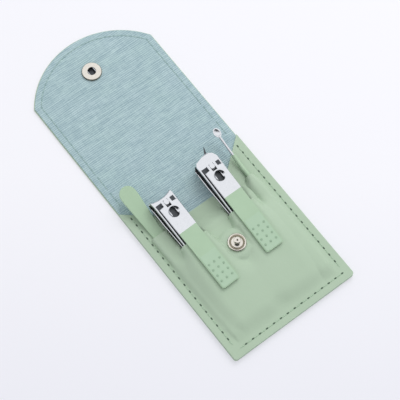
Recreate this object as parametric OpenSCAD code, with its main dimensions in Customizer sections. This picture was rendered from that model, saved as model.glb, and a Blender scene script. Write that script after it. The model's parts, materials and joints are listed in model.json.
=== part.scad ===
// Manicure set case, lying open on its back: a stitched pocket with a folding flap and a press stud,
// holding two nail clippers, a nail pusher and an ear pick. Millimetres, +Z up, +Y towards the flap.
// All modules are written with y = 0 at the pocket's bottom edge; seated() moves them to the frame's
// origin, which is the middle of the footprint on the table.

/* [Case] */
// Width of the case
case_w = 70; // [64:1:84]
// Length of the pocket's back, from its bottom edge to the first crease
pocket_len = 90; // [90:0.2:94]
// Length of each of the two narrow strips that make the spine
fold_len = 10.1; // [10:0.1:11]
// Length of the flap, from the last crease to the top of its arc
flap_len = 65; // [60:0.5:70]
// Radius of the flap's arc
flap_arc_r = 42; // [38:1:50]
// Thickness of the outer leather
shell_t = 0.8; // [0.6:0.1:1]
// Thickness of the woven lining
lining_t = 0.5; // [0.4:0.1:0.7]
// Thickness of the front panel
panel_t = 0.9; // [0.7:0.05:1]
// Radius of the pocket's bottom corners
corner_r = 1.5; // [0.8:0.1:3]

/* [Pocket panel] */
// Height of the panel's straight middle edge above the bottom edge
panel_mid = 69.8; // [69.5:0.1:74]
// Distance of the panel's horns, at the case's sides, below the first crease
horn_drop = 1.6; // [0:0.2:6]
// Half width of the straight middle edge, measured to where its line meets the horn's line
panel_mid_w = 12; // [9:0.5:16]
// Width of the flat seam along the sides and the bottom
seam_w = 4.4; // [4.2:0.1:5.5]
// Width of each slit as it is cut
slit_gap = 0.4; // [0.3:0.05:0.6]
// Height of the two clipper slits above the bottom edge
clip_slit_y = 56; // [52:0.5:58]
// Height of the pusher's slit
pusher_slit_y = 68.6; // [67:0.1:68.8]
// Height of the ear pick's slit
pick_slit_y = 67; // [64:0.2:68]

/* [Stitching] */
// Distance of the stitch line from the edge
stitch_inset = 3.5; // [3:0.1:4]
// Distance from one stitch to the next
stitch_pitch = 4.05; // [3:0.05:5]
// Length of the thread that shows in one stitch
stitch_len = 3; // [2:0.1:3.5]
// Diameter of the thread
thread_d = 0.5; // [0.4:0.05:0.6]

/* [Press stud] */
// Distance of the stud below the first crease
stud_drop = 46.8; // [44:0.1:49]
// Distance of the stud from the case's middle line, to the right
stud_x = -0.8; // [-1.5:0.1:0]
// Diameter of the stud's flange
stud_d = 9; // [8:0.2:10]
// Height of the panel's face under the stud
stud_seat_z = 7; // [6.4:0.1:7.2]
// Radius of the stud's neck
neck_r = 1.3; // [1.1:0.05:1.35]
// Radius of the stud's head
head_r = 1.75; // [1.6:0.05:1.9]
// Diameter of the socket's outer ring
socket_d = 9.8; // [9:0.2:10.4]
// Diameter of the socket's hole
socket_hole_d = 4.2; // [4:0.1:4.6]
// Diameter of the cap on the outside of the flap
cap_d = 10.4; // [10:0.2:11.6]

/* [Clippers] */
// Width of both clippers
clip_w = 11.6; // [10.5:0.1:12]
// Thickness of a jaw
jaw_t = 1.2; // [1:0.05:1.3]
// Width of a lever
lever_w = 9.6; // [9:0.1:11]
// Thickness of a lever
lever_t = 1; // [0.8:0.05:1.1]
// Length of a lever, from its axle to its end
lever_len = 48.3; // [44:0.1:50]
// Distance from the axle back to the end of the jaws
jaw_len = 51.4; // [50.8:0.1:53]
// Distance from the axle forward to the nail clipper's cutting corners
nail_head = 5; // [4.4:0.1:6]
// Distance from the axle forward to the slanted clipper's point
slant_head = 7.7; // [7.2:0.1:9]
// Depth of the hollow in the nail clipper's edge
nail_hollow = 1.2; // [0.6:0.05:1.8]
// Clearance of the rivets at both tails over the lining
tail_gap = 0.25; // [0.2:0.05:0.5]
// Rise of both clippers towards their heads, in degrees
slope = 5.9; // [5.5:0.1:6.3]
// Distance from the pusher at its slit to the nail clipper's pin, across the case
nail_space = 10.1; // [10:0.05:11.3]
// Height of the nail clipper's pin above the bottom edge
nail_pin_y = 77; // [75:0.1:78]
// Lean of the nail clipper and the nail pusher to the left, in degrees
left_lean = 1.3; // [0:0.1:1.5]
// Distance from the stud to the slanted clipper's pin, across the case
slant_space = 12.7; // [11.8:0.1:13.8]
// Height of the slanted clipper's pin above the bottom edge
slant_pin_y = 78.8; // [76:0.1:80]
// Radius of each clipper's pin
pin_r = 1.5; // [1.3:0.05:1.6]
// Radius of the lever's axle
axle_r = 0.5; // [0.4:0.05:0.6]
// Gap between the two cutting edges
bite = 2.25; // [1.8:0.05:2.6]

/* [Pusher and ear pick] */
// Distance of the nail pusher at its slit from the case's left side
pusher_side = 8.7; // [8.55:0.05:8.75]
// Width of the pusher's paddle
pusher_w = 8.4; // [7.6:0.1:8.6]
// Width of the pusher's shank inside the pocket
shank_w = 5.4; // [4.4:0.1:5.6]
// Thickness of the pusher
pusher_t = 1; // [0.8:0.05:1.1]
// Height of the pusher's tip above the bottom edge
pusher_tip = 96.1; // [94:0.1:96.2]
// Height of the pusher's lower end above the bottom edge
pusher_end = 14; // [10:0.5:24]
// Distance of the ear pick from the case's right side
pick_side = 9.2; // [8.6:0.1:10]
// Diameter of the ear pick's wire
wire_d = 1.2; // [1:0.05:1.4]
// Diameter of the ear pick's handle
pick_d = 2.2; // [1.8:0.05:2.4]
// Height of the ear pick's tip above the bottom edge
pick_tip = 95.2; // [93:0.1:96]
// Width of the ear pick's spoon
spoon_w = 3.6; // [3:0.1:4.2]
// Height of both tips above the table
tip_z = 8.45; // [8.2:0.05:8.6]

/* [Hidden] */
// Running clearance of a shaft in a bore, on the radius
fit = 0.05;
// Clearance between soft leather and a tool
ease = 0.2;
// Gap between two strips of the case at a crease
crease_gap = 0.2;
// Inset of the lining from the leather's edge
lining_inset = 0.4;
// Thickness of the whole back
back_t = shell_t + lining_t;
fold_1 = pocket_len;
fold_2 = pocket_len + fold_len;
fold_3 = pocket_len + 2 * fold_len;
case_len = fold_3 + flap_len;
half_w = case_w / 2;
seam_x = half_w - seam_w;
// Places of the tools and the stud
pusher_x = pusher_side - half_w;
nail_pin_x = pusher_x + nail_space;
slant_pin_x = stud_x + slant_space;
pick_x = half_w - pick_side;
stud_y = pocket_len - stud_drop;
panel_horn = pocket_len - horn_drop;
thread_r = thread_d / 2;
// Turn of the outer creases when the case is shut, and the distance between its two creased ends
shut_turn = (180 + slope) / 4;
shut_rise = fold_len * (sin(shut_turn) + sin(3 * shut_turn));
shut_back = fold_len * (cos(shut_turn) + cos(3 * shut_turn));
// The socket lies where the shut flap brings it over the stud
socket_y = fold_3 + (fold_1 + shut_back - stud_y) / cos(slope);
shut_lining_z = back_t + shut_rise - (fold_1 + shut_back - stud_y) * tan(slope);

// Stud: flange, neck and head, with the head in the socket's hole when the case is shut
flange_t = 1;
head_t = 0.55;
stud_top = shut_lining_z + 0.3;
hollow_r = 0.75;
washer_r = 3;
washer_t = 0.5;
post_hole = 1.7;
socket_h = 1.3;
socket_hole_r = socket_hole_d / 2;
barrel_r = socket_hole_r + 0.6;
barrel_bore_r = socket_hole_r + 0.1;
spring_d = 0.5;
spring_x = neck_r + 0.15 + spring_d / 2;
spring_z = back_t + 0.7;
cap_dome = 0.45;

// Clippers, measured in their own frame: origin on the axle, y to the head, z square to the lever
lever_top = lever_t / 2;
prong_r = pin_r;
eye_w = 2.2;
fork_w = 4.8;
fork_gap = 0.15;
slot_back = 2.6;
shoulder = 1.3;
pin_top = lever_top + 0.1;
jaw_top = -prong_r - 0.2;
pad_len = 18;
pad_t = 0.12;
dot_pitch = 3.1;
dot_r = 0.55;
dot_rise = 0.15;
window_y = -6;
window_w = 3;
window_len = 5.5;
boss_r = 4.2;
boss_rise = 0.45;
dish_r = 2.9;
dish_floor = -0.1;
// Height of the meeting face of the jaws at their tail, and of the two edges at the head
tail_z = -4.35;
hinge_back = 9.4;
upper_edge_z = -4.5;
lower_edge_z = upper_edge_z - bite;
belly_z = -9.55;
level_len = 6;
bend_start = 1.8;
edge_land = 0.35;
rivet_r = 1.05;
rivet_head_r = 1.8;
rivet_head_t = 0.45;
rivet_back = 4.7;
pin_flange_r = 2.2;
pin_flange_t = 0.5;
jaw_reach = clip_w / 2;
slit_reach = jaw_reach + 1.4;
lip_reach = jaw_reach + 0.4;
// Both axles stand as high as it takes for the tails' rivets to clear the lining and for the lower
// jaws to clear the panel, which passes under them above the slits
belly_gap = 0.15;
tail_lift = tail_gap + (jaw_len - rivet_back + rivet_head_r) * sin(slope)
    + (jaw_t + rivet_head_t - tail_z) * cos(slope);
belly_lift = panel_t + belly_gap + level_len * sin(slope) - belly_z * cos(slope);
axle_z = back_t + max(tail_lift, belly_lift);

// Pusher and ear pick: a low shank in the pocket and a raised end over the lining
shank_low_z = back_t + 0.1 + pusher_t / 2;
pusher_slit_z = back_t + panel_t + 0.2 + pusher_t / 2;
shank_rise = (pusher_slit_z - shank_low_z) / (pusher_slit_y - pusher_end);
pusher_bend = pusher_slit_y + 3.4;
pick_end = 22;
pick_r = pick_d / 2;
pick_low_z = back_t + 0.1 + pick_r;
pick_slit_z = back_t + panel_t + 0.15 + pick_r;
pick_rise = (pick_slit_z - pick_low_z) / (pick_slit_y - pick_end);
pick_bend = pick_slit_y + 5;
pick_sleeve = 79.6;
spoon_len = 5.6;
spoon_t = 1.5;
pusher_reach = shank_w / 2 + 0.4;
spike = [1.6, 2.9];
spike_t = 0.45;

green = "#aec5ac";
light_green = "#b6d2ba";
linen = "#a8c1c7";
steel = "#d8dade";
nickel = "#cfc8bb";

// Rise from 0 to 1 as v goes from a to b, level at both ends
function ease_in(a, b, v) = let (t = min(1, max(0, (v - a) / (b - a)))) t * t * (3 - 2 * t);

// Numbers in rising order, each kept once
function sorted(v) = len(v) < 2 ? v : let (m = v[floor(len(v) / 2)])
    concat(sorted([for (n = v) if (n < m - 0.05) n]), [m], sorted([for (n = v) if (n > m + 0.05) n]));

module seated() {
    translate([0, -case_len / 2, 0]) children();
}

// A side view drawn as (y, z) points, given a width across x
module side_bar(points, width) {
    rotate([90, 0, 90]) linear_extrude(height = width, center = true) polygon(points);
}

// Case: flat outlines of the back, the strips and the flap

// The pocket's back, drawn in by inset; its top end is a crease
module back_outline(inset) {
    r = max(0.3, corner_r - inset);
    w = case_w - 2 * inset;
    top = fold_1 - crease_gap / 2;
    union() {
        translate([-w / 2, inset + r]) square([w, top - inset - r]);
        translate([-w / 2 + r, inset]) square([w - 2 * r, 2 * r]);
        for (side = [-1, 1]) translate([side * (w / 2 - r), inset + r]) circle(r = r, $fn = 32);
    }
}

// The flap, drawn in by inset; its lower end is a crease and its top an arc
module flap_outline(inset) {
    w = case_w - 2 * inset;
    intersection() {
        translate([-w / 2, fold_3 + crease_gap / 2]) square([w, flap_len]);
        translate([0, case_len - flap_arc_r]) circle(r = flap_arc_r - inset, $fn = 96);
        }
}

// The part of the flap below its arc, which the arc's circle alone would cut away
module flap_sides(inset) {
    w = case_w - 2 * inset;
    low = fold_3 + crease_gap / 2;
    translate([-w / 2, low]) square([w, case_len - flap_arc_r - low]);
}

module strip(low, inset, z, t) {
    w = case_w - 2 * inset;
    translate([-w / 2, low + crease_gap / 2, z]) cube([w, fold_len - crease_gap, t]);
}

module back_shell() {
    color(green) seated() linear_extrude(height = shell_t) back_outline(0);
}

module back_lining() {
    color(linen) seated() translate([0, 0, shell_t]) linear_extrude(height = lining_t)
        back_outline(lining_inset);
}

module lower_fold_shell() {
    color(green) seated() strip(fold_1, 0, 0, shell_t);
}

module lower_fold_lining() {
    color(linen) seated() strip(fold_1, lining_inset, shell_t, lining_t);
}

module upper_fold_shell() {
    color(green) seated() strip(fold_2, 0, 0, shell_t);
}

module upper_fold_lining() {
    color(linen) seated() strip(fold_2, lining_inset, shell_t, lining_t);
}

module flap_shell() {
    color(green) seated() difference() {
        linear_extrude(height = shell_t) union() {
            flap_outline(0);
            flap_sides(0);
        }
        translate([stud_x, socket_y, -1]) cylinder(r = cap_d / 2 + fit, h = shell_t + 2, $fn = 64);
    }
}

module flap_lining() {
    color(linen) seated() difference() {
        translate([0, 0, shell_t]) linear_extrude(height = lining_t) union() {
            flap_outline(lining_inset);
            flap_sides(lining_inset);
        }
        translate([stud_x, socket_y, 0]) cylinder(r = barrel_r + fit, h = back_t + 1, $fn = 48);
    }
}

// Front panel: a sheet that lies on the lining at its seams and rises over the tools below the slits

// Height of the panel's top edge at a distance from the middle line
function panel_top(x) = let (
        rise = (panel_horn - panel_mid) / (half_w - panel_mid_w),
        soft = 3.5,
        past = abs(x) - panel_mid_w)
    past < -soft ? panel_mid
    : past > soft ? panel_mid + rise * past
    : panel_mid + rise * (past + soft) * (past + soft) / (4 * soft);

// Middle of each leaning tool, and of the slanted clipper, at height y
function nail_mid(y) = nail_pin_x + (nail_pin_y - y) * tan(left_lean);
function pusher_mid(y) = pusher_x + (pusher_slit_y - y) * tan(left_lean);
function slant_mid(y) = slant_pin_x;

// How far the net's lines on the left have run to the right at height y, along with the leaning tools
function drift(y) = max(0, pusher_slit_y - y) * tan(left_lean);

// How high the panel's underside lies over a clipper's jaws at height y
function jaw_cover(y, pin_y) = axle_z - back_t - (lever_top + ease) / cos(slope) - panel_t
    - ease - (pin_y - y) * tan(slope);

// Low swell of the whole pocket, level along the slits and gone at the seams
swell = 3;
function pocket_swell(x, y) = swell * ease_in(seam_w, seam_w + 13, y)
    * (1 - ease_in(clip_slit_y + 1, clip_slit_y + 8, y))
    * ease_in(-seam_x, -seam_x + 7, x) * (1 - ease_in(seam_x - 11, seam_x, x));

// Cover over one clipper: a level top with steep sides at the slit, which spread further down
function clip_cover(x, y, mid, pin_y) = let (
        off = abs(x - mid),
        spread = slit_reach - lip_reach + 6.5 * ease_in(0, 14, clip_slit_y - y),
        base = pocket_swell(x, y))
    y > clip_slit_y + 0.01 ? 0
    : base + (jaw_cover(y, pin_y) * ease_in(0, 9, y - seam_w) - base)
        * (1 - ease_in(lip_reach, lip_reach + spread, off));

// What a clipper leaves of the swell above its slit, where the panel passes under the jaws
function under_jaws(x, mid) = ease_in(jaw_reach + 0.2, slit_reach, abs(x - mid));

// Cover over a narrow tool: a level top of half width flat, falling to nothing at reach,
// and further off on the case's inner side below the height wide
function tool_cover(x, y, mid, slit, flat, reach, low, rise, end, wide) = let (
        off = abs(x - mid),
        widen = 3 * ease_in(0, 12, wide - y))
    y > slit + 0.01 ? 0
    : (low + rise * (y - end)) * ease_in(0, 7, y - seam_w)
        * (1 - ease_in(flat, reach + (abs(x) < abs(mid) ? widen : 0), off));

function pusher_cover(x, y) = tool_cover(x, y, pusher_mid(y), pusher_slit_y, pusher_reach,
    pusher_reach + 0.8, shank_low_z + pusher_t / 2 + ease - back_t, shank_rise, pusher_end,
    clip_slit_y);

function pick_cover(x, y) = tool_cover(x, y, pick_x, pick_slit_y, pick_r - 0.1, pick_r + 0.9,
    pick_low_z + pick_r + ease - back_t, pick_rise, pick_end, pick_slit_y);

function stud_cover(x, y) = let (
        off = norm([x - stud_x, y - stud_y]),
        seat = stud_seat_z - panel_t - back_t)
    seat * (1 - ease_in(stud_d / 2 + 0.7, stud_d / 2 + 9, off));

// Underside of the panel; the stud's seat is level, and nothing else reaches into it
function panel_low(x, y) = let (
        off = max(abs(x - stud_x), abs(y - stud_y)),
        base = y > clip_slit_y + 0.01
            ? pocket_swell(x, y) * under_jaws(x, nail_mid(y)) * under_jaws(x, slant_mid(y))
            : pocket_swell(x, y),
        cover = max(base, clip_cover(x, y, nail_mid(y), nail_pin_y),
            clip_cover(x, y, slant_mid(y), slant_pin_y), pusher_cover(x, y), pick_cover(x, y)),
        seat = stud_seat_z - panel_t - back_t,
        room = min(stud_x - nail_mid(stud_y), slant_mid(stud_y) - stud_x) - lip_reach,
        level = 1 - ease_in(stud_d / 2 + 0.35, min(stud_d / 2 + 2.4, room), off))
    back_t + max(cover, stud_cover(x, y)) * (1 - level) + seat * level;

nail_slit = [nail_mid(clip_slit_y) - drift(clip_slit_y), clip_slit_y, slit_reach];
slant_slit = [slant_mid(clip_slit_y), clip_slit_y, slit_reach];
pusher_slit = [pusher_x, pusher_slit_y, pusher_reach + 0.8];
pick_slit = [pick_x, pick_slit_y, pick_r + 0.9];
slits = [nail_slit, slant_slit, pusher_slit, pick_slit];

// Lines of the panel's net across x: seams, slit ends, steep sides and evenly spaced ones between,
// given at the pusher's slit; those between the left seam and the stud drift with the leaning tools
panel_xs = sorted(concat(
    [for (side = [-1, 1]) each [side * half_w, side * (half_w - 1.2), side * seam_x]],
    [for (slit = slits, side = [-1, 1]) slit[0] + side * slit[2]],
    [for (mid = [nail_slit[0], slant_slit[0]], side = [-1, 1])
        each [mid + side * lip_reach, mid + side * (jaw_reach + 0.2), mid + side * 3.2]],
    [for (side = [-1, 1]) each [pusher_x + side * pusher_reach, pick_x + side * (pick_r - 0.1)]],
    [for (side = [-1, 1]) each [stud_x + side * post_hole, stud_x + side * (stud_d / 2 + 0.3)]],
    [pusher_x, nail_slit[0], slant_slit[0], stud_x, pick_x, (slant_slit[0] + pick_x) / 2]));

// Lines along y below the slanted top edge, and how far each row above them goes up to it
panel_ys = sorted(concat(
    [0, 1.6, seam_w, 6.6, 9.5, 13, 17.5, 22, 27, 32],
    [for (side = [-1, 1]) each [stud_y + side * post_hole, stud_y + side * (stud_d / 2 + 0.3)]],
    [stud_y - 8, clip_slit_y - 4.6, clip_slit_y - 2, clip_slit_y, clip_slit_y + slit_gap,
     clip_slit_y + 2.4, clip_slit_y + 5, clip_slit_y + 8, pick_slit_y, pick_slit_y + slit_gap,
     pusher_slit_y, pusher_slit_y + slit_gap]));
panel_rows = [0.25, 0.5, 0.75, 1];

module pocket_front() {
    nx = len(panel_xs);
    ny = len(panel_ys) + len(panel_rows);
    last = panel_ys[len(panel_ys) - 1];
    function net_x(x, y) = x > -seam_x + 0.01 && x < stud_x - stud_d / 2 - 0.35 ? x + drift(y) : x;
    function row_y(i, j) = j < len(panel_ys) ? panel_ys[j]
        : last + (panel_top(panel_xs[i]) - last) * panel_rows[j - len(panel_ys)];
    // Whether the cell above and to the right of net point i, j is leather
    function filled(i, j) = i < 0 || j < 0 || i > nx - 2 || j > ny - 2 ? false
        : let (
            x = (panel_xs[i] + panel_xs[i + 1]) / 2,
            y = j < len(panel_ys) - 1 ? (panel_ys[j] + panel_ys[j + 1]) / 2 : last + 1,
            cut = [for (s = slits) if (abs(x - s[0]) < s[2] && y > s[1] && y < s[1] + slit_gap) 1],
            post = abs(x - stud_x) < post_hole && abs(y - stud_y) < post_hole)
        len(cut) == 0 && !post;
    low = [for (j = [0:ny - 1], i = [0:nx - 1]) let (y = row_y(i, j), x = net_x(panel_xs[i], y))
        [x, y, panel_low(x, y)]];
    high = [for (p = low) [p[0], p[1], p[2] + panel_t]];
    n = nx * ny;
    faces = [for (j = [0:ny - 2], i = [0:nx - 2]) if (filled(i, j))
        let (a = j * nx + i, b = a + 1, c = a + nx + 1, d = a + nx) each concat(
            [[a, b, c], [a, c, d], [a + n, c + n, b + n], [a + n, d + n, c + n]],
            filled(i, j - 1) ? [] : [[a, b + n, b], [a, a + n, b + n]],
            filled(i, j + 1) ? [] : [[c, d + n, d], [c, c + n, d + n]],
            filled(i - 1, j) ? [] : [[d, a + n, a], [d, d + n, a + n]],
            filled(i + 1, j) ? [] : [[b, c + n, c], [b, b + n, c + n]])];
    color(green) seated() polyhedron(points = concat(low, high), faces = faces, convexity = 8);
}

// Stitching: short lengths of thread that lie on the face

module stitch(x, y, z, turn) {
    translate([x, y, z + thread_r]) rotate([0, 90, turn])
        cylinder(r = thread_r, h = stitch_len, center = true, $fn = 16);
}

// A column of stitches on both sides, from one height to another
module stitch_sides(low, high, z) {
    count = max(1, floor((high - low) / stitch_pitch));
    start = (low + high - (count - 1) * stitch_pitch) / 2;
    for (side = [-1, 1], i = [0:count - 1])
        stitch(side * (half_w - stitch_inset), start + i * stitch_pitch, z, 90);
}

module pocket_thread() {
    count = floor((case_w - 2 * stitch_inset) / stitch_pitch);
    color(light_green) seated() {
        for (i = [0:count - 1])
            stitch((i - (count - 1) / 2) * stitch_pitch, stitch_inset, back_t + panel_t, 0);
        stitch_sides(stitch_inset + 1, panel_top(half_w - stitch_inset) - 1, back_t + panel_t);
    }
}

module fold_thread_lower() {
    color(light_green) seated() stitch_sides(fold_1, fold_2, back_t);
}

module fold_thread_upper() {
    color(light_green) seated() stitch_sides(fold_2, fold_3, back_t);
}

module flap_thread() {
    r = flap_arc_r - stitch_inset;
    mid_y = case_len - flap_arc_r;
    end_turn = asin((half_w - stitch_inset) / r);
    count = floor(2 * end_turn * PI / 180 * r / stitch_pitch);
    step = 2 * end_turn / count;
    color(light_green) seated() {
        stitch_sides(fold_3, mid_y + r * cos(end_turn), back_t);
        for (i = [0:count - 1]) let (turn = -end_turn + (i + 0.5) * step)
            stitch(r * sin(turn), mid_y + r * cos(turn), back_t, -turn);
    }
}

// Press stud: the stud and its rivet on the panel, the socket, spring and cap on the flap

module snap_stud() {
    r = stud_d / 2;
    seat = stud_seat_z;
    top = seat + flange_t;
    head_low = stud_top - head_t;
    color(nickel) seated() translate([stud_x, stud_y, 0]) rotate_extrude($fn = 64) polygon([
        [hollow_r, seat], [r - 0.35, seat], [r, seat + 0.35], [r, top - 0.35], [r - 0.35, top],
        [r - 1, top], [r - 1.35, top - 0.45], [neck_r + 0.75, top - 0.45], [neck_r + 0.2, top],
        [neck_r, top + 0.3], [neck_r, head_low], [head_r, head_low + 0.15], [head_r, stud_top - 0.25],
        [head_r - 0.35, stud_top], [hollow_r, stud_top]]);
}

module stud_rivet() {
    top = stud_seat_z + 0.9;
    low = stud_seat_z - panel_t - washer_t;
    color(nickel) seated() translate([stud_x, stud_y, 0]) {
        translate([0, 0, low]) cylinder(r = washer_r, h = washer_t, $fn = 48);
        translate([0, 0, low]) cylinder(r = hollow_r - fit, h = top - low, $fn = 32);
    }
}

module snap_cap() {
    r = cap_d / 2;
    color(nickel) seated() translate([stud_x, socket_y, 0]) rotate_extrude($fn = 64) polygon([
        [0, 0], [r - 1.2, 0], [r - 0.4, 0.12], [r, cap_dome], [r, shell_t], [barrel_r, shell_t],
        [barrel_r, back_t + 0.4], [barrel_bore_r, back_t + 0.4], [barrel_bore_r, cap_dome],
        [0, cap_dome]]);
}

module snap_socket() {
    r = socket_d / 2;
    low = back_t;
    top = back_t + socket_h;
    color(nickel) seated() translate([stud_x, socket_y, 0]) rotate_extrude($fn = 64) polygon([
        [barrel_r + fit, low], [r - 0.4, low], [r, low + 0.4], [r, low + 0.8], [r - 0.5, top],
        [r - 1.05, top - 0.1], [r - 1.2, top - 0.35], [barrel_r + 0.65, top - 0.35],
        [barrel_r + 0.5, top - 0.05], [socket_hole_r + 0.1, top - 0.05], [socket_hole_r, top - 0.15],
        [socket_hole_r, low + 1], [barrel_r + 0.35, low + 1], [barrel_r + 0.35, low + 0.4],
        [barrel_r + fit, low + 0.4]]);
}

// Two wires across the socket's hole, which close behind the stud's head
module snap_spring() {
    r = barrel_r + 0.3;
    reach = sqrt(r * r - pow(spring_x + spring_d / 2, 2));
    color(steel) seated() translate([stud_x, socket_y, spring_z]) for (side = [-1, 1])
        translate([side * spring_x, 0, 0]) rotate([90, 0, 0])
            cylinder(r = spring_d / 2, h = 2 * reach, center = true, $fn = 16);
}

// Clippers: both are built alike in their own frame and differ in their heads

module nail_place() {
    seated() translate([nail_pin_x, nail_pin_y, axle_z]) rotate([0, 0, left_lean])
        rotate([slope, 0, 0]) children();
}

module slant_place() {
    seated() translate([slant_pin_x, slant_pin_y, axle_z]) rotate([slope, 0, 0]) children();
}

// Plan of the nail clipper's blank: round corners at the tail and a square head
module nail_plan() {
    r = 2;
    translate([-jaw_reach, -jaw_len + r]) square([clip_w, jaw_len - r + nail_head]);
    translate([-jaw_reach + r, -jaw_len]) square([clip_w - 2 * r, 2 * r]);
    for (side = [-1, 1]) translate([side * (jaw_reach - r), -jaw_len + r]) circle(r = r, $fn = 32);
}

// Plan of the slanted clipper: a straight slanted edge with its point to the right
module slant_plan() {
    r = 2;
    union() {
        translate([-jaw_reach, -jaw_len + r]) square([clip_w, jaw_len - r]);
        translate([-jaw_reach + r, -jaw_len]) square([clip_w - 2 * r, 2 * r]);
        for (side = [-1, 1]) translate([side * (jaw_reach - r), -jaw_len + r])
            circle(r = r, $fn = 32);
        polygon([[-jaw_reach, -1], [jaw_reach, -1], [jaw_reach, slant_head - 4.3],
            [jaw_reach - 0.9, slant_head - 2], [jaw_reach - 2.9, slant_head - 0.2],
            [jaw_reach - 3.6, slant_head], [-jaw_reach + 1.1, slant_head - 2.2],
            [-jaw_reach, slant_head - 3.8]]);
    }
}

// Side view of a jaw: level at the tail, spreading to the head, then bent in to its edge.
// side is 1 for the upper jaw and -1 for the lower, and face is its outer height at the head.
function jaw_view(head, side, face, edge) = let (
        drop = abs(face - edge),
        hinge_y = -jaw_len + hinge_back,
        outer = [for (i = [0:8]) let (a = 90 * i / 8)
            [bend_start + (head - bend_start) * sin(a), face - side * drop * (1 - cos(a))]],
        inner = [for (i = [8:-1:0]) let (a = 90 * i / 8)
            [bend_start + (head - bend_start - edge_land) * sin(a),
             face - side * (jaw_t + (drop - jaw_t) * (1 - cos(a)))]])
    concat([[-jaw_len, tail_z + side * jaw_t], [hinge_y, tail_z + side * jaw_t], [-level_len, face]],
        outer, inner,
        [[-level_len, face - side * jaw_t], [hinge_y, tail_z], [-jaw_len, tail_z]]);

// Line of the cutting edges from side to side as [x, y]. The nail clipper's is a hollow arc between
// two short lands, and the jaws are bent along it, so that the edges still meet.
function nail_edge() = let (
        half = jaw_reach - 0.25,
        arc_r = (half * half + nail_hollow * nail_hollow) / (2 * nail_hollow))
    concat([[-jaw_reach - 1, nail_head]],
        [for (i = [-6:6]) let (x = half * i / 6)
            [x, nail_head - nail_hollow + arc_r - sqrt(arc_r * arc_r - x * x)]],
        [[jaw_reach + 1, nail_head]]);

// The slanted clipper's jaws have one side view, and its plan cuts them to the slanted edge
function slant_edge() = [[0, slant_head]];

// A jaw as wide as its blank or wider: one side view drawn out straight, or several joined
module jaw_sides(line, side, face, edge) {
    views = [for (p = line) jaw_view(p[1], side, face, edge)];
    n = len(views[0]);
    last = len(line) - 1;
    ends = [[for (j = [n - 1:-1:0]) j], [for (j = [0:n - 1]) last * n + j]];
    walls = last < 1 ? [] : [for (i = [0:last - 1], j = [0:n - 1])
        let (a = i * n + j, b = i * n + (j + 1) % n) each [[a, b, b + n], [a, b + n, a + n]]];
    if (last < 1) side_bar(views[0], 2 * clip_w);
    else polyhedron(
        points = [for (i = [0:last], p = views[i]) [line[i][0], p[0], p[1]]],
        faces = [for (f = concat(ends, walls)) side > 0 ? f : [for (k = [len(f) - 1:-1:0]) f[k]]],
        convexity = 6);
}

module upper_jaw(line) {
    difference() {
        intersection() {
            jaw_sides(line, 1, jaw_top, upper_edge_z);
            translate([0, 0, -20]) linear_extrude(height = 30) children();
        }
        cylinder(r = pin_r + 0.25, h = 30, center = true, $fn = 48);
        translate([0, -jaw_len + rivet_back, 0])
            cylinder(r = rivet_r + 0.1, h = 30, center = true, $fn = 32);
    }
}

module lower_jaw(line) {
    difference() {
        intersection() {
            jaw_sides(line, -1, belly_z, lower_edge_z);
            translate([0, 0, -20]) linear_extrude(height = 30) children();
        }
        cylinder(r = pin_r + fit, h = 30, center = true, $fn = 48);
        translate([0, -jaw_len + rivet_back, 0])
            cylinder(r = rivet_r + fit, h = 30, center = true, $fn = 32);
    }
}

// The rivet's upper head stands clear of the jaw, whose tail lifts as its head comes down
module rear_rivet() {
    low = tail_z - jaw_t;
    high = tail_z + jaw_t + 0.3;
    translate([0, -jaw_len + rivet_back, 0]) {
        translate([0, 0, low - rivet_head_t])
            cylinder(r = rivet_head_r, h = rivet_head_t, $fn = 32);
        translate([0, 0, low - rivet_head_t])
            cylinder(r = rivet_r, h = high - low + 2 * rivet_head_t, $fn = 32);
        translate([0, 0, high]) cylinder(r = rivet_head_r, h = rivet_head_t, $fn = 32);
    }
}

// A flange under the lower jaw, a round shaft through both, and a flat eye round the axle
module pin() {
    neck = jaw_top + 0.05;
    difference() {
        union() {
            translate([0, 0, belly_z - fit - pin_flange_t])
                cylinder(r = pin_flange_r, h = pin_flange_t, $fn = 48);
            translate([0, 0, belly_z - fit - pin_flange_t])
                cylinder(r = pin_r, h = neck - belly_z + fit + pin_flange_t, $fn = 48);
            intersection() {
                translate([0, 0, neck - 0.1]) cylinder(r = prong_r - 0.1, h = pin_top - neck + 0.1, $fn = 48);
                cube([eye_w, 4, 20], center = true);
            }
        }
        rotate([0, 90, 0]) cylinder(r = axle_r + fit, h = 20, center = true, $fn = 32);
    }
}

module axle() {
    rotate([0, 90, 0]) cylinder(r = axle_r, h = fork_w, center = true, $fn = 32);
}

// Plan of the lever: a broad handle with round corners
module lever_plan(w, from, to, r) {
    translate([-w / 2, to + r]) square([w, from - to - r]);
    translate([-w / 2 + r, to]) square([w - 2 * r, 2 * r]);
    for (side = [-1, 1]) translate([side * (w / 2 - r), to + r]) circle(r = r, $fn = 32);
}

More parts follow.
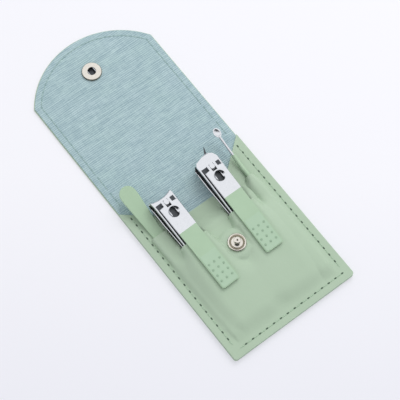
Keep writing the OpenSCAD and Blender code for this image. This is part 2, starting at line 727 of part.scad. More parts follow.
module lever() {
    difference() {
        union() {
            // Handle, with the low boss that presses on the jaw when the lever is turned over
            translate([0, 0, -lever_top]) linear_extrude(height = lever_t)
                lever_plan(lever_w, -shoulder, -lever_len, 1.2);
            translate([0, window_y, lever_top - 0.02])
                cylinder(r1 = boss_r, r2 = boss_r - 1.6, h = boss_rise + 0.02, $fn = 48);
            // Fork: two prongs round the pin's eye
            translate([-fork_w / 2, -shoulder - 1, -lever_top]) cube([fork_w, shoulder + 1, lever_t]);
            intersection() {
                rotate([0, 90, 0]) cylinder(r = prong_r, h = fork_w, center = true, $fn = 48);
                translate([-fork_w / 2, -prong_r, -prong_r]) cube([fork_w, 2 * prong_r, prong_r + lever_top]);
            }
            // Thumb pad with rows of dots
            translate([0, 0, lever_top]) linear_extrude(height = pad_t)
                lever_plan(lever_w - 0.8, -lever_len + pad_len, -lever_len + 0.4, 1);
            for (i = [-1:1], j = [0:3])
                translate([i * dot_pitch, -lever_len + 3.5 + j * dot_pitch, lever_top + pad_t])
                    cylinder(r = dot_r, h = dot_rise, $fn = 24);
        }
        // Slot for the pin's eye
        translate([-eye_w / 2 - fork_gap, -slot_back, -5])
            cube([eye_w + 2 * fork_gap, slot_back + 5, 10]);
        // Dish in the boss, and an oval window through it
        translate([0, window_y, dish_floor])
            cylinder(r1 = 1.9, r2 = dish_r, h = lever_top + boss_rise - dish_floor, $fn = 48);
        translate([0, window_y, -5]) linear_extrude(height = 10) {
            square([window_w, window_len - window_w], center = true);
            for (side = [-1, 1]) translate([0, side * (window_len - window_w) / 2])
                circle(r = window_w / 2, $fn = 32);
        }
        rotate([0, 90, 0]) cylinder(r = axle_r + 0.02, h = 20, center = true, $fn = 32);
    }
}

module nail_lower_jaw() {
    color(steel) nail_place() lower_jaw(nail_edge()) nail_plan();
}

module nail_upper_jaw() {
    color(steel) nail_place() upper_jaw(nail_edge()) nail_plan();
}

module nail_rear_rivet() {
    color(steel) nail_place() rear_rivet();
}

module nail_pin() {
    color(steel) nail_place() pin();
}

module nail_axle() {
    color(steel) nail_place() axle();
}

module nail_lever() {
    color(green) nail_place() lever();
}

module slant_lower_jaw() {
    color(steel) slant_place() lower_jaw(slant_edge()) slant_plan();
}

// The upper blade's point runs out into a thin spike
module slant_upper_jaw() {
    at = [jaw_reach - 3.6, slant_head];
    color(steel) slant_place() {
        upper_jaw(slant_edge()) slant_plan();
        translate([at[0], at[1], upper_edge_z]) linear_extrude(height = spike_t)
            polygon([[-0.6, -0.5], [0.7, -0.6], [spike[0] + 0.1, spike[1] - 0.1], spike,
                [spike[0] - 0.15, spike[1]]]);
    }
}

module slant_rear_rivet() {
    color(steel) slant_place() rear_rivet();
}

module slant_pin() {
    color(steel) slant_place() pin();
}

module slant_axle() {
    color(steel) slant_place() axle();
}

module slant_lever() {
    color(green) slant_place() lever();
}

// Nail pusher: a flat bar with a shank in the pocket and a paddle that bends up over the lining,
// written upright and leaned about its slit

module pusher_plan() {
    wide_y = pusher_tip - 1.1 * pusher_w;
    half = pusher_w / 2;
    waist = shank_w / 2 + 0.3;
    translate([0, pusher_tip - half]) circle(r = half, $fn = 64);
    polygon([[-half, pusher_tip - half], [-half, wide_y + 2], [-half + 0.35, wide_y - 1.5],
        [-waist, pusher_bend], [-shank_w / 2, pusher_bend - 10], [-shank_w / 2, pusher_end + 2],
        [-shank_w / 2 + 1.4, pusher_end], [shank_w / 2 - 1.4, pusher_end],
        [shank_w / 2, pusher_end + 2], [shank_w / 2, pusher_bend - 10], [waist, pusher_bend],
        [half - 0.35, wide_y - 1.5], [half, wide_y + 2], [half, pusher_tip - half]]);
}

module nail_pusher() {
    bend_z = shank_low_z + (pusher_bend - pusher_end) * shank_rise;
    soft = 2;
    // The last point runs on past the tip, so that the plan's round end cuts it
    lift = (tip_z - bend_z) / (pusher_tip - pusher_bend);
    line = [[pusher_end - 1, shank_low_z - shank_rise], [pusher_bend - soft, bend_z - soft * shank_rise],
        [pusher_bend, bend_z + 0.12], [pusher_bend + soft, bend_z + soft * lift],
        [pusher_tip + 1, tip_z + lift]];
    color(light_green) seated() translate([pusher_x, pusher_slit_y, 0]) rotate([0, 0, left_lean])
        translate([0, -pusher_slit_y, 0]) intersection() {
            side_bar(concat([for (p = line) [p[0], p[1] + pusher_t / 2]],
                [for (i = [len(line) - 1:-1:0]) [line[i][0], line[i][1] - pusher_t / 2]]), case_w);
            linear_extrude(height = 20) pusher_plan();
        }
}

// Ear pick: a wire with a spoon, held in a round handle that bends where it leaves the pocket

// A round bar from one (y, z) point to another, on the ear pick's line
module pick_bar(from, to, d) {
    run = to - from;
    translate([pick_x, from[0], from[1]]) rotate([-90 + atan2(run[1], run[0]), 0, 0])
        cylinder(r = d / 2, h = norm(run), $fn = 32);
}

pick_low = [pick_end, pick_low_z];
pick_turn = [pick_bend, pick_low_z + (pick_bend - pick_end) * pick_rise];
pick_lift = (tip_z - pick_turn[1]) / (pick_tip - pick_bend);
pick_joint = [pick_sleeve, pick_turn[1] + (pick_sleeve - pick_bend) * pick_lift];
spoon_y = pick_tip - spoon_len / 2;

module ear_pick_handle() {
    color(light_green) seated() difference() {
        union() {
            pick_bar(pick_low, pick_turn, pick_d);
            // The raised end is a little slimmer and starts just inside the shank
            pick_bar(pick_turn - [0.4, 0], pick_joint, pick_d - 0.16);
        }
        pick_bar(pick_turn + 0.5 * (pick_joint - pick_turn), 2 * pick_joint - pick_turn, wire_d + 0.04);
    }
}

module ear_pick() {
    lift = atan(pick_lift);
    tip = [pick_tip - spoon_len + 0.8, pick_turn[1] + (pick_tip - spoon_len + 0.8 - pick_bend) * pick_lift];
    bowl_r = (spoon_w * spoon_w / 4 + spoon_t * spoon_t) / (2 * spoon_t) + 0.9;
    color(steel) seated() union() {
        pick_bar(pick_turn + 0.55 * (pick_joint - pick_turn), tip, wire_d);
        // Spoon: an oval dish, hollow on its upper face
        translate([pick_x, spoon_y, pick_turn[1] + (spoon_y - pick_bend) * pick_lift])
            rotate([lift, 0, 0]) difference() {
                intersection() {
                    translate([0, 0, bowl_r - spoon_t / 2]) sphere(r = bowl_r, $fn = 64);
                    spoon_plan(0);
                    translate([-5, -5, -3]) cube([10, 10, 3 + spoon_t / 2]);
                }
                intersection() {
                    translate([0, 0, bowl_r - spoon_t / 2 + 0.5]) sphere(r = bowl_r, $fn = 64);
                    spoon_plan(0.45);
                }
            }
    }
}

// Oval of the spoon as two overlapping discs' common outline, drawn in by inset
module spoon_plan(inset) {
    w = spoon_w / 2 - inset;
    l = spoon_len / 2 - inset;
    arc = (l * l + w * w) / (2 * w);
    translate([0, 0, -3]) intersection() {
        translate([arc - w, 0, 0]) cylinder(r = arc, h = 6, $fn = 64);
        translate([w - arc, 0, 0]) cylinder(r = arc, h = 6, $fn = 64);
        translate([-w, -l + 0.3, 0]) cube([2 * w, 2 * l - 0.6, 6]);
    }
}

back_shell();
back_lining();
pocket_front();
pocket_thread();
snap_stud();
stud_rivet();
lower_fold_shell();
lower_fold_lining();
upper_fold_shell();
upper_fold_lining();
fold_thread_lower();
fold_thread_upper();
flap_shell();
flap_lining();
flap_thread();
snap_cap();
snap_socket();
snap_spring();
nail_lower_jaw();
nail_upper_jaw();
nail_rear_rivet();
nail_pin();
nail_axle();
nail_lever();
slant_lower_jaw();
slant_upper_jaw();
slant_rear_rivet();
slant_pin();
slant_axle();
slant_lever();
nail_pusher();
ear_pick();
ear_pick_handle();
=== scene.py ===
# %% [markdown]
# # A manicure set case, lying open on its back
#
# The real object is a small folding case of imitation leather with a woven lining. Slits in its front
# panel hold two nail clippers, a nail pusher and an ear pick, and a press stud closes the flap.
# Here each piece is modelled as it would be made by hand in Blender, around a fixed CAD frame that says
# where everything is and what moves.

# %% The fixed frame
import json
import math

import bpy
from mathutils import Matrix, Vector

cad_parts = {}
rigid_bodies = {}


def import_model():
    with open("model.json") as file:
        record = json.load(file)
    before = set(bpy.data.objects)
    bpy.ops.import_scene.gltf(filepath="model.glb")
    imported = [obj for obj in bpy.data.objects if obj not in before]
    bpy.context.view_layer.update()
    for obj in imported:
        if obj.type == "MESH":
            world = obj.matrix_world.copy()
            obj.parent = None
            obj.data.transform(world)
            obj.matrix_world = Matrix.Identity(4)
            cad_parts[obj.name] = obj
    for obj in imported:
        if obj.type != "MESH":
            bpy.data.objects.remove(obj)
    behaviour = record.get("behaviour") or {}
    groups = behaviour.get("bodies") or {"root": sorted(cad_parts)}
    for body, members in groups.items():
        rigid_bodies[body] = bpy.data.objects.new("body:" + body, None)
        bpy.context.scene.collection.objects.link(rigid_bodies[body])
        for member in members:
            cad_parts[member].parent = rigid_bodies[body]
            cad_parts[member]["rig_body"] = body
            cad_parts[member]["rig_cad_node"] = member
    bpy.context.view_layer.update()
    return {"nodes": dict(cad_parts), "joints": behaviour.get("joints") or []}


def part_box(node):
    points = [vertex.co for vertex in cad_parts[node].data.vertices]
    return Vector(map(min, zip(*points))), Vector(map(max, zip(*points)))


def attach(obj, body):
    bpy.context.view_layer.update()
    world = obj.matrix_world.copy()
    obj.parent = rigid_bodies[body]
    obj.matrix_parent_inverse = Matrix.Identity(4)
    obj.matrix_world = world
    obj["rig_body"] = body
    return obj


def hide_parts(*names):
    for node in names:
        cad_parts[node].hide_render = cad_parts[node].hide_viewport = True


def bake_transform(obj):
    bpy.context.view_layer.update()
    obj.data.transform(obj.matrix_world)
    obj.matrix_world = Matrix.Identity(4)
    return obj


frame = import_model()
nodes = frame["nodes"]
joints = {joint["name"]: joint for joint in frame["joints"]}

# %% [markdown]
# ## Measures and places
#
# All sizes below are millimetres, and lengths along the case count from the pocket's bottom edge, as
# they would on a paper pattern. One function turns such a point into Blender's metres.

# %% Millimetres and points on the case
MM = 0.001
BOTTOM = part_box("back_shell")[0].y / MM
HALF_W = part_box("back_shell")[1].x / MM
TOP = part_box("flap_shell")[1].y / MM - BOTTOM
CREASES = [joints[name]["pos_m"][1] / MM - BOTTOM
           for name in ("lower_fold_hinge", "upper_fold_hinge", "flap_hinge")]


def at(x, y, z):
    """A point of the case in metres, from its place on the pattern in millimetres."""
    return Vector((x, y + BOTTOM, z)) * MM


print(f"case {2 * HALF_W:.1f} x {TOP:.1f} mm, creases at", [round(crease, 1) for crease in CREASES])

# %% [markdown]
# ## Selecting, editing and finishing
#
# Blender's operators act on whatever is selected, so every step starts from an empty selection. These
# few helpers do what the mouse would: take one piece, pick faces by their place, apply a modifier.

# %% Helpers for modelling


def clear_selection():
    """Leaves edit mode and deselects everything."""
    if bpy.context.mode != "OBJECT":
        bpy.ops.object.mode_set(mode="OBJECT")
    bpy.ops.object.select_all(action="DESELECT")


def take(piece):
    """Makes a piece the one selected and active object."""
    clear_selection()
    piece.select_set(True)
    bpy.context.view_layer.objects.active = piece
    return piece


def pick_faces(piece, wanted):
    """Opens a piece in edit mode with those faces selected whose middle passes the test."""
    take(piece)
    bpy.ops.object.mode_set(mode="EDIT")
    bpy.ops.mesh.select_mode(type="FACE")
    bpy.ops.mesh.select_all(action="DESELECT")
    bpy.ops.object.mode_set(mode="OBJECT")
    for face in piece.data.polygons:
        face.select = wanted(face)
    bpy.ops.object.mode_set(mode="EDIT")


def modify(piece, kind, **settings):
    """Adds a modifier with its settings and applies it."""
    take(piece)
    modifier = piece.modifiers.new(kind.title(), kind)
    for key, value in settings.items():
        setattr(modifier, key, value)
    bpy.ops.object.modifier_apply(modifier=modifier.name)


def copy_of(piece, name):
    """A copy of a piece with a mesh of its own."""
    made = piece.copy()
    made.data = piece.data.copy()
    made.name = made.data.name = name
    bpy.context.scene.collection.objects.link(made)
    return made


def join(name, pieces):
    """Joins several pieces into one."""
    clear_selection()
    for piece in pieces:
        piece.select_set(True)
    bpy.context.view_layer.objects.active = pieces[0]
    bpy.ops.object.join()
    pieces[0].name = pieces[0].data.name = name
    return pieces[0]


def settle(piece, slot, *materials, smooth=35, stands_for=()):
    """Puts a finished piece's place into its mesh, shades it smooth and gives it its materials."""
    take(piece)
    bpy.ops.object.transform_apply(location=True, rotation=True, scale=True)
    bpy.ops.object.shade_smooth_by_angle(angle=math.radians(smooth))
    marks = [face.material_index for face in piece.data.polygons]
    piece.data.materials.clear()
    for material in materials:
        piece.data.materials.append(material)
    for face, mark in zip(piece.data.polygons, marks):
        face.material_index = mark
    if stands_for:
        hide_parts(*stands_for)
    print(f"{piece.name}: {len(piece.data.vertices)} points, {len(piece.data.polygons)} faces")
    return piece


# %% [markdown]
# ## Colours and nodes
#
# Colours are written as the sRGB codes that a picture shows, and Blender works with linear light, so
# one function turns one into the other. A second one adds a shader node with its settings and links.
# Nearly every finish of this object is a pattern between two close shades, so a third one paints that:
# a Mix node for colours takes its factor at socket 0 and its colours at 6 and 7, and gives the mix at 2.

# %% Helpers for materials


def linear(code):
    """An sRGB colour such as #aec5ac as linear red, green, blue and alpha."""
    parts = [int(code[i:i + 2], 16) / 255 for i in (1, 3, 5)]
    return (*[c / 12.92 if c <= 0.04045 else ((c + 0.055) / 1.055) ** 2.4 for c in parts], 1.0)


def add(tree, kind, inputs=(), **settings):
    """Adds a node; each input is a value, or another node's output to link."""
    node = tree.nodes.new(kind)
    for key, value in settings.items():
        setattr(node, key, value)
    for key, value in dict(inputs).items():
        if isinstance(value, bpy.types.NodeSocket):
            tree.links.new(value, node.inputs[key])
        else:
            node.inputs[key].default_value = value
    return node


def start_material(name, **shader):
    """A material with its shader's plain values set, and the object's coordinates to draw on."""
    material = bpy.data.materials.new(name)
    material.use_nodes = True
    tree = material.node_tree
    surface = tree.nodes["Principled BSDF"]
    for key, value in shader.items():
        surface.inputs[key.title()].default_value = value
    place = add(tree, "ShaderNodeTexCoord").outputs["Object"]
    return material, tree, surface, place


def paint(tree, surface, factor, low, high):
    """Colours a surface between two colours by a pattern that runs from 0 to 1."""
    mixed = add(tree, "ShaderNodeMix", {0: factor, 6: low, 7: high}, data_type="RGBA")
    tree.links.new(mixed.outputs[2], surface.inputs["Base Color"])


def per_mm(size):
    """The scale that gives a pattern features of this size in millimetres."""
    return 1 / (size * MM)


# %% [markdown]
# ## Imitation leather
#
# The case is PU leather: a polyurethane skin embossed with a fine grain on a knitted base. It is satin,
# with grain cells just under a millimetre, and its colour drifts a little over a few centimetres. A
# picture of leather could be laid over it, but that would stretch over the humps of the panel; patterns
# in the object's own space have the same grain on every piece.

# %% Imitation leather
LEATHER_DRIFT = 16
GRAIN_SIZE = 0.8
PORE_SIZE = 0.35
GRAIN_DEPTH = 0.05
LEATHER_ROUGH = (0.44, 0.6)


def leather_skin(name, light, dark):
    """Satin polyurethane skin, its soft gloss broken up by an embossed grain."""
    material, tree, surface, place = start_material(name)
    drift = add(tree, "ShaderNodeTexNoise",
                {"Vector": place, "Scale": per_mm(LEATHER_DRIFT), "Detail": 3.0})
    paint(tree, surface, drift.outputs["Fac"], linear(dark), linear(light))
    cells = add(tree, "ShaderNodeTexVoronoi", {"Vector": place, "Scale": per_mm(GRAIN_SIZE)},
                feature="SMOOTH_F1")
    pores = add(tree, "ShaderNodeTexNoise", {"Vector": place, "Scale": per_mm(PORE_SIZE), "Detail": 2.0})
    height = add(tree, "ShaderNodeMath", {0: cells.outputs["Distance"], 1: pores.outputs["Fac"]},
                 operation="ADD")
    bump = add(tree, "ShaderNodeBump",
               {"Strength": 0.35, "Distance": GRAIN_DEPTH * MM, "Height": height.outputs[0]})
    tree.links.new(bump.outputs[0], surface.inputs["Normal"])
    low, high = LEATHER_ROUGH
    gloss = add(tree, "ShaderNodeMapRange",
                {"Value": pores.outputs["Fac"], "To Min": low, "To Max": high})
    tree.links.new(gloss.outputs[0], surface.inputs["Roughness"])
    return material


LEATHER = leather_skin("sage_pu_leather", "#b4c9b0", "#abc1a7")

# %% [markdown]
# ## Linen-look lining
#
# The lining is a plain weave with slubs: thick and thin places in the threads that show as short light
# and dark streaks, mostly across the case. Threads could be modelled one by one, but at this size they
# only have to show as texture. So two stretched noises give the slubs, and two waves the threads.

# %% Lining cloth
# The real threads lie under half a millimetre apart; they are drawn at up to double that, to show
THREADS = (("Y", 1.0), ("X", 0.6))
SLUBS = ((6.0, 0.5, 2.0), (0.7, 5.0, 2.0))
WAVE_PERIOD = 0.314  # distance between two bands of a wave texture at scale 1
THREAD_SHARE = 0.25
DOWN_SHARE = 0.22
CONTRAST = (0.33, 0.67)
CLOTH_DRIFT = 12
WEAVE_DEPTH = 0.08


def lining_cloth():
    """Matt plain weave with slubs that run across the case."""
    material, tree, surface, place = start_material("slub_linen_weave", roughness=0.85)
    slubs = []
    for size in SLUBS:
        stretched = add(tree, "ShaderNodeMapping",
                        {"Vector": place, "Scale": [per_mm(length) for length in size]})
        noise = add(tree, "ShaderNodeTexNoise",
                    {"Vector": stretched.outputs[0], "Scale": 1.0, "Detail": 3.0})
        slubs.append(noise.outputs["Fac"])
    threads = []
    for direction, pitch in THREADS:
        wave = add(tree, "ShaderNodeTexWave",
                   {"Vector": place, "Scale": WAVE_PERIOD * per_mm(pitch), "Distortion": 1.5,
                    "Detail": 1.0}, bands_direction=direction)
        threads.append(wave.outputs["Fac"])
    across = add(tree, "ShaderNodeMix", {0: THREAD_SHARE, 2: slubs[0], 3: threads[0]}).outputs[0]
    both = add(tree, "ShaderNodeMix", {0: DOWN_SHARE, 2: across, 3: slubs[1]}).outputs[0]
    low, high = CONTRAST
    contrast = add(tree, "ShaderNodeMapRange", {"Value": both, "From Min": low, "From Max": high})
    drift = add(tree, "ShaderNodeTexNoise",
                {"Vector": place, "Scale": per_mm(CLOTH_DRIFT), "Detail": 1.0})
    light = add(tree, "ShaderNodeMix",
                {0: drift.outputs["Fac"], 6: linear("#bdd2d7"), 7: linear("#b8d3ce")}, data_type="RGBA")
    paint(tree, surface, contrast.outputs[0], linear("#8fa9b0"), light.outputs[2])
    weave = add(tree, "ShaderNodeMath", {0: threads[0], 1: threads[1]}, operation="ADD")
    bump = add(tree, "ShaderNodeBump",
               {"Strength": 0.6, "Distance": WEAVE_DEPTH * MM, "Height": weave.outputs[0]})
    tree.links.new(bump.outputs[0], surface.inputs["Normal"])
    return material


LINING = lining_cloth()

# %% [markdown]
# ## Sewing thread
#
# The seams are sewn with spun polyester, which is matt and shows its twist as fine slanting lines. It
# could be wound from strands, but a stitch is only half a millimetre thick, so a wave draws the twist.
# The thread on the lining takes a greyer shade than that on the leather, as in the photograph.

# %% Thread
TWIST = 0.5


def sewing_thread(name, dark, light):
    """Spun polyester thread, matt, its twist a fine slanting line."""
    material, tree, surface, place = start_material(name, roughness=0.6)
    twist = add(tree, "ShaderNodeTexWave", {"Vector": place, "Scale": WAVE_PERIOD * per_mm(TWIST)},
                bands_direction="DIAGONAL")
    paint(tree, surface, twist.outputs["Fac"], linear(dark), linear(light))
    return material


THREAD = sewing_thread("sage_polyester_thread", "#9db79b", "#b9d1b7")
CLOTH_THREAD = sewing_thread("grey_polyester_thread", "#98b2b0", "#a9c3bd")

# %% [markdown]
# ## Metals
#
# The clippers are chromed steel, a hard and slightly blue mirror. Between the jaws, under the levers,
# on a jaw's spike and inside the cap's barrel the steel is duller and coloured dark grey as painted
# shade. The press stud is brass with nickel plate, which is warmer and softer; its groove and the
# socket's rim are duller and coloured darker as painted shade. The ear pick's wire is only tumbled
# bright, so it blurs what it mirrors. A grey paint with a strong gloss would look alike from one side
# only; a metal mirrors its surroundings from every side. All of these are one recipe with faint rubbing
# marks, and differ in tint and in blur.

# %% Metals
RUB_SIZE = 1.2


def plated_metal(name, light, dark, rough):
    """Metal with faint rubbing marks, which blur the mirror a little more here and less there."""
    material, tree, surface, place = start_material(name, metallic=1.0)
    marks = add(tree, "ShaderNodeTexNoise", {"Vector": place, "Scale": per_mm(RUB_SIZE), "Detail": 4.0})
    paint(tree, surface, marks.outputs["Fac"], linear(dark), linear(light))
    blur = add(tree, "ShaderNodeMapRange",
               {"Value": marks.outputs["Fac"], "To Min": rough * 0.7, "To Max": rough * 1.3})
    tree.links.new(blur.outputs[0], surface.inputs["Roughness"])
    return material


CHROME = plated_metal("chromed_steel", "#dddfe1", "#d0d3d6", 0.1)
# Dull steel coloured dark as painted shade: the shade between the jaws, under the levers and in the cap's
# barrel.
DULL_STEEL_SHADE = plated_metal("dull_steel_painted_shade", "#5a5d60", "#484b4e", 0.45)
NICKEL = plated_metal("nickel_plate", "#e4e0d6", "#cdc8bd", 0.14)
# Dull nickel coloured darker as painted shade: the shade in the stud's groove and along the socket's rim.
DULL_NICKEL_SHADE = plated_metal("dull_nickel_painted_shade", "#97917f", "#857f70", 0.4)
BRIGHT_WIRE = plated_metal("polished_wire", "#e1e3e5", "#d6d9dc", 0.3)
SPRING_WIRE = plated_metal("spring_steel_wire", "#c9ccd0", "#b4b8bc", 0.2)

# %% [markdown]
# ## Baked enamel
#
# The levers, the pusher and the pick's handle are coated with a baked enamel: even, satin, and with the
# faint orange peel that any sprayed coat has. The thumb pads are coloured paler, as painted light for
# the brighter light on their turned-up ends, and their raised dots darker, as painted shade round each
# dot. The needle holes use the same recipe, very matt and dark, as painted shade: a hole shows nothing
# but a dark shade.

# %% Enamel and needle holes
COAT_DRIFT = 6
PEEL_SIZE = 0.7
PEEL_DEPTH = 0.02


def baked_enamel(name, light, dark, rough):
    """Satin coating with a faint orange peel."""
    material, tree, surface, place = start_material(name, roughness=rough)
    drift = add(tree, "ShaderNodeTexNoise", {"Vector": place, "Scale": per_mm(COAT_DRIFT), "Detail": 2.0})
    paint(tree, surface, drift.outputs["Fac"], linear(dark), linear(light))
    peel = add(tree, "ShaderNodeTexNoise", {"Vector": place, "Scale": per_mm(PEEL_SIZE), "Detail": 1.0})
    bump = add(tree, "ShaderNodeBump",
               {"Strength": 0.25, "Distance": PEEL_DEPTH * MM, "Height": peel.outputs["Fac"]})
    tree.links.new(bump.outputs[0], surface.inputs["Normal"])
    return material


ENAMEL = baked_enamel("sage_baked_enamel", "#afcaab", "#a8c3a4", 0.42)
# Paler than the enamel, as painted light on the thumb pad's turned-up end.
PAD_PAINTED_LIGHT = baked_enamel("thumb_pad_painted_light", "#b2cdb1", "#acc7ab", 0.55)
# Darker than the pad, as painted shade round each raised grip dot.
DOT_PAINTED_SHADE = baked_enamel("grip_dot_painted_shade", "#9ab69a", "#92ae92", 0.6)
# Dark, matt patches of painted shade for the needle holes in the leather and in the cloth.
HOLE_SHADE = baked_enamel("painted_hole_shade_leather", "#566a58", "#4a5d4d", 0.9)
CLOTH_HOLE_SHADE = baked_enamel("painted_hole_shade_cloth", "#8ea9a8", "#86a2a0", 0.9)

# %% [markdown]
# ## Sheets: the idea
#
# Leather and cloth are flat pieces cut to a pattern. A box would give such a sheet its thickness at
# once, but it has no lines inside to bend at. So a grid is added, its lines are moved to where the
# pattern needs them, and Solidify gives it its thickness. Where the case folds, the lines lie closer
# together, so that the sheet can bend.

# %% Grid on chosen lines


def spread(marks, step):
    """Lines through all the marks, with even ones between them no further apart than step."""
    values = []
    for low, high in zip(marks, marks[1:]):
        count = max(1, math.ceil((high - low) / step - 0.01))
        values += [low + (high - low) * i / count for i in range(count)]
    return values + [marks[-1]]


def net(name, xs, ys, place):
    """A grid with lines at xs and ys, each crossing moved to place(x, y)."""
    clear_selection()
    bpy.ops.mesh.primitive_grid_add(x_subdivisions=len(xs) - 1, y_subdivisions=len(ys) - 1, size=1)
    piece = bpy.context.object
    piece.name = piece.data.name = name
    if len(piece.data.vertices) != len(xs) * len(ys):
        raise ValueError("the grid has other lines than asked for")
    for i, vertex in enumerate(piece.data.vertices):
        vertex.co = place(xs[i % len(xs)], ys[i // len(xs)])
    return piece


# %% [markdown]
# ## The case's outline
#
# The pattern is a rectangle with small round corners at the pocket's end and an arc at the flap's end.
# It could be cut out of a larger sheet, but that would leave slivers along the cut. Instead a point of
# the plain rectangle is moved onto the outline: near a corner it is drawn in, and above ARC_FROM the
# rows bend gradually into the arc. Columns within STEADY_X of the middle stay where they are.

# %% Outline of the case
ARC_R = 42.0
CORNER_R = 1.5
ARC_FROM = 125.0
STEADY_X = 25.0
SMALLEST_R = 0.3
CORNER_SHARES = (0, 0.08, 0.25, 0.5, 0.75, 1)
EDGE_LINE = 0.5
CREASE_SPAN = 4.0
CREASE_STEP = 0.6
ACROSS_STEP = 2.5
POCKET_STEP = 4.0
FLAP_STEP = 3.0


def on_outline(x, y, inset):
    """Where a point of the plain rectangle lies on the case's outline, drawn in by inset."""
    half = HALF_W - inset
    r = max(SMALLEST_R, CORNER_R - inset)
    up = min(r, y - inset)
    reach = half - r + math.sqrt(max(0, r * r - (r - up) ** 2))
    if abs(x) > STEADY_X:
        out = STEADY_X + (abs(x) - STEADY_X) * (reach - STEADY_X) / (half - STEADY_X)
        x = math.copysign(out, x)
    arc = TOP - ARC_R + math.sqrt((ARC_R - inset) ** 2 - x * x)
    if y > ARC_FROM:
        y = ARC_FROM + (y - ARC_FROM) * (arc - ARC_FROM) / (TOP - inset - ARC_FROM)
    return x, y


def case_lines(inset):
    """Lines of a sheet of the case, close together at its corners and creases."""
    half = HALF_W - inset
    xs = spread([-half, -half + EDGE_LINE, half - EDGE_LINE, half], ACROSS_STEP)
    low, high = CREASES[0] - CREASE_SPAN, CREASES[2] + CREASE_SPAN
    ys = [inset + CORNER_R * share for share in CORNER_SHARES]
    ys += spread([CORNER_R + inset, low], POCKET_STEP)[1:]
    ys += spread([low, high], CREASE_STEP)[1:]
    ys += spread([high, TOP - inset - EDGE_LINE, TOP - inset], FLAP_STEP)[1:]
    return xs, ys


# %% [markdown]
# ## Leather and lining, each cut into three lengths
#
# The real case is one piece of leather with one piece of lining glued to it. It folds at three creases,
# and a piece can bend between two bodies only, so each sheet is cut square across between the creases,
# and each length holds one of them. The hole for the press stud is punched in the flap's length.

# %% Back of the case
CUTS = [None, (CREASES[0] + CREASES[1]) / 2, (CREASES[1] + CREASES[2]) / 2, None]
LENGTHS = ("pocket", "spine", "flap")
SHELL_T = 0.8
LINING_T = 0.5
LINING_INSET = 0.4
SHELL_EDGE = 0.2
LINING_EDGE = 0.15
BACK_T = SHELL_T + LINING_T
SOCKET_LOW, SOCKET_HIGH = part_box("snap_socket")
SOCKET = ((SOCKET_LOW.x + SOCKET_HIGH.x) / 2 / MM, (SOCKET_LOW.y + SOCKET_HIGH.y) / 2 / MM - BOTTOM)
CAP_R = (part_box("snap_cap")[1].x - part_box("snap_cap")[0].x) / 2 / MM
BARREL_R = 2.7
HOLE_GAP = 0.05
CUTTER_LEN = 10.0
ROUND_STEPS = 64


def punch(piece, x, y, radius):
    """Takes a round hole out of a sheet."""
    clear_selection()
    bpy.ops.mesh.primitive_cylinder_add(vertices=ROUND_STEPS, radius=radius * MM,
                                        depth=CUTTER_LEN * MM, location=at(x, y, 0))
    cutter = bpy.context.object
    modify(piece, "BOOLEAN", operation="DIFFERENCE", solver="EXACT", object=cutter)
    bpy.data.objects.remove(cutter)
    print(f"{piece.name}: hole of {2 * radius:.1f} mm")


def length_of(sheet, name, low, high):
    """A copy of a sheet, cut off square below low and above high."""
    made = take(copy_of(sheet, name))
    bpy.ops.object.mode_set(mode="EDIT")
    for y, way in ((low, 1), (high, -1)):
        if y is not None:
            bpy.ops.mesh.select_all(action="SELECT")
            bpy.ops.mesh.bisect(plane_co=at(0, y, 0), plane_no=(0, way, 0), use_fill=True,
                                clear_inner=True)
    bpy.ops.object.mode_set(mode="OBJECT")
    return made


def case_sheet(name, inset, low, thickness, edge, hole, slot, material, cad):
    """One sheet of the case in three lengths, each holding one crease, with a hole in the flap."""
    xs, ys = case_lines(inset)
    whole = net(name, xs, ys, lambda x, y: at(*on_outline(x, y, inset), low))
    modify(whole, "SOLIDIFY", thickness=thickness * MM, offset=1.0)
    modify(whole, "BEVEL", width=edge * MM, segments=2, limit_method="ANGLE",
           angle_limit=math.radians(60))
    made = []
    for i, part in enumerate(LENGTHS):
        piece = length_of(whole, f"{name}_{part}", CUTS[i], CUTS[i + 1])
        if part == "flap":
            punch(piece, *SOCKET, hole)
        settle(piece, slot, material, stands_for=cad[i])
        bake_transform(piece)
        made.append(piece)
    bpy.data.objects.remove(whole)
    return made


leather = case_sheet("leather", 0, 0, SHELL_T, SHELL_EDGE, CAP_R + HOLE_GAP, "green_leather", LEATHER,
                     (["back_shell"], ["lower_fold_shell", "upper_fold_shell"], ["flap_shell"]))
lining = case_sheet("lining", LINING_INSET, SHELL_T, LINING_T, LINING_EDGE, BARREL_R + HOLE_GAP,
                    "linen_lining", LINING,
                    (["back_lining"], ["lower_fold_lining", "upper_fold_lining"], ["flap_lining"]))

# %% [markdown]


# %% [markdown]
# ## The front panel
#
# The panel is the leather in front, sewn down along the sides and the bottom. Above each slit it passes
# under the tool, and below it the panel rises over the tool. It could be sculpted, or draped by a cloth
# simulation, but it has to stay just clear of the steel when a tool slides. So its height is worked out
# from smooth humps, each sized for the tool below it.
#
# First come the places, as (x, y) on the pattern: the clippers' pins, the stud, and the middles of the
# pusher's and the pick's slits. The pusher and the nail clipper lean a little to the left.

# %% Places on the panel
LEAN = math.tan(math.radians(1.3))
LEVER_SLOPE = math.radians(5.9)
NAIL_PIN = (-16.2, 77.0)
SLANT_PIN = (11.9, 78.8)
AXLE_Z = joints["nail_lever_lift"]["pos_m"][2] / MM
PUSHER = (-26.3, 68.6)
PICK = (25.8, 67.0)
STUD = (-0.8, 43.2)
STUD_SEAT = 7.0
PANEL_T = 0.9
SEAM_W = 4.4
CLIP_SLIT = 56.0
SLIT_GAP = 0.4
PANEL_MID = 69.8
PANEL_HORN = 88.4
HORN_FROM = 12.0
HORN_SOFT = 3.5


def ease_in(a, b, v):
    """Rises from 0 to 1 as v goes from a to b, level at both ends."""
    t = min(1, max(0, (v - a) / (b - a)))
    return t * t * (3 - 2 * t)


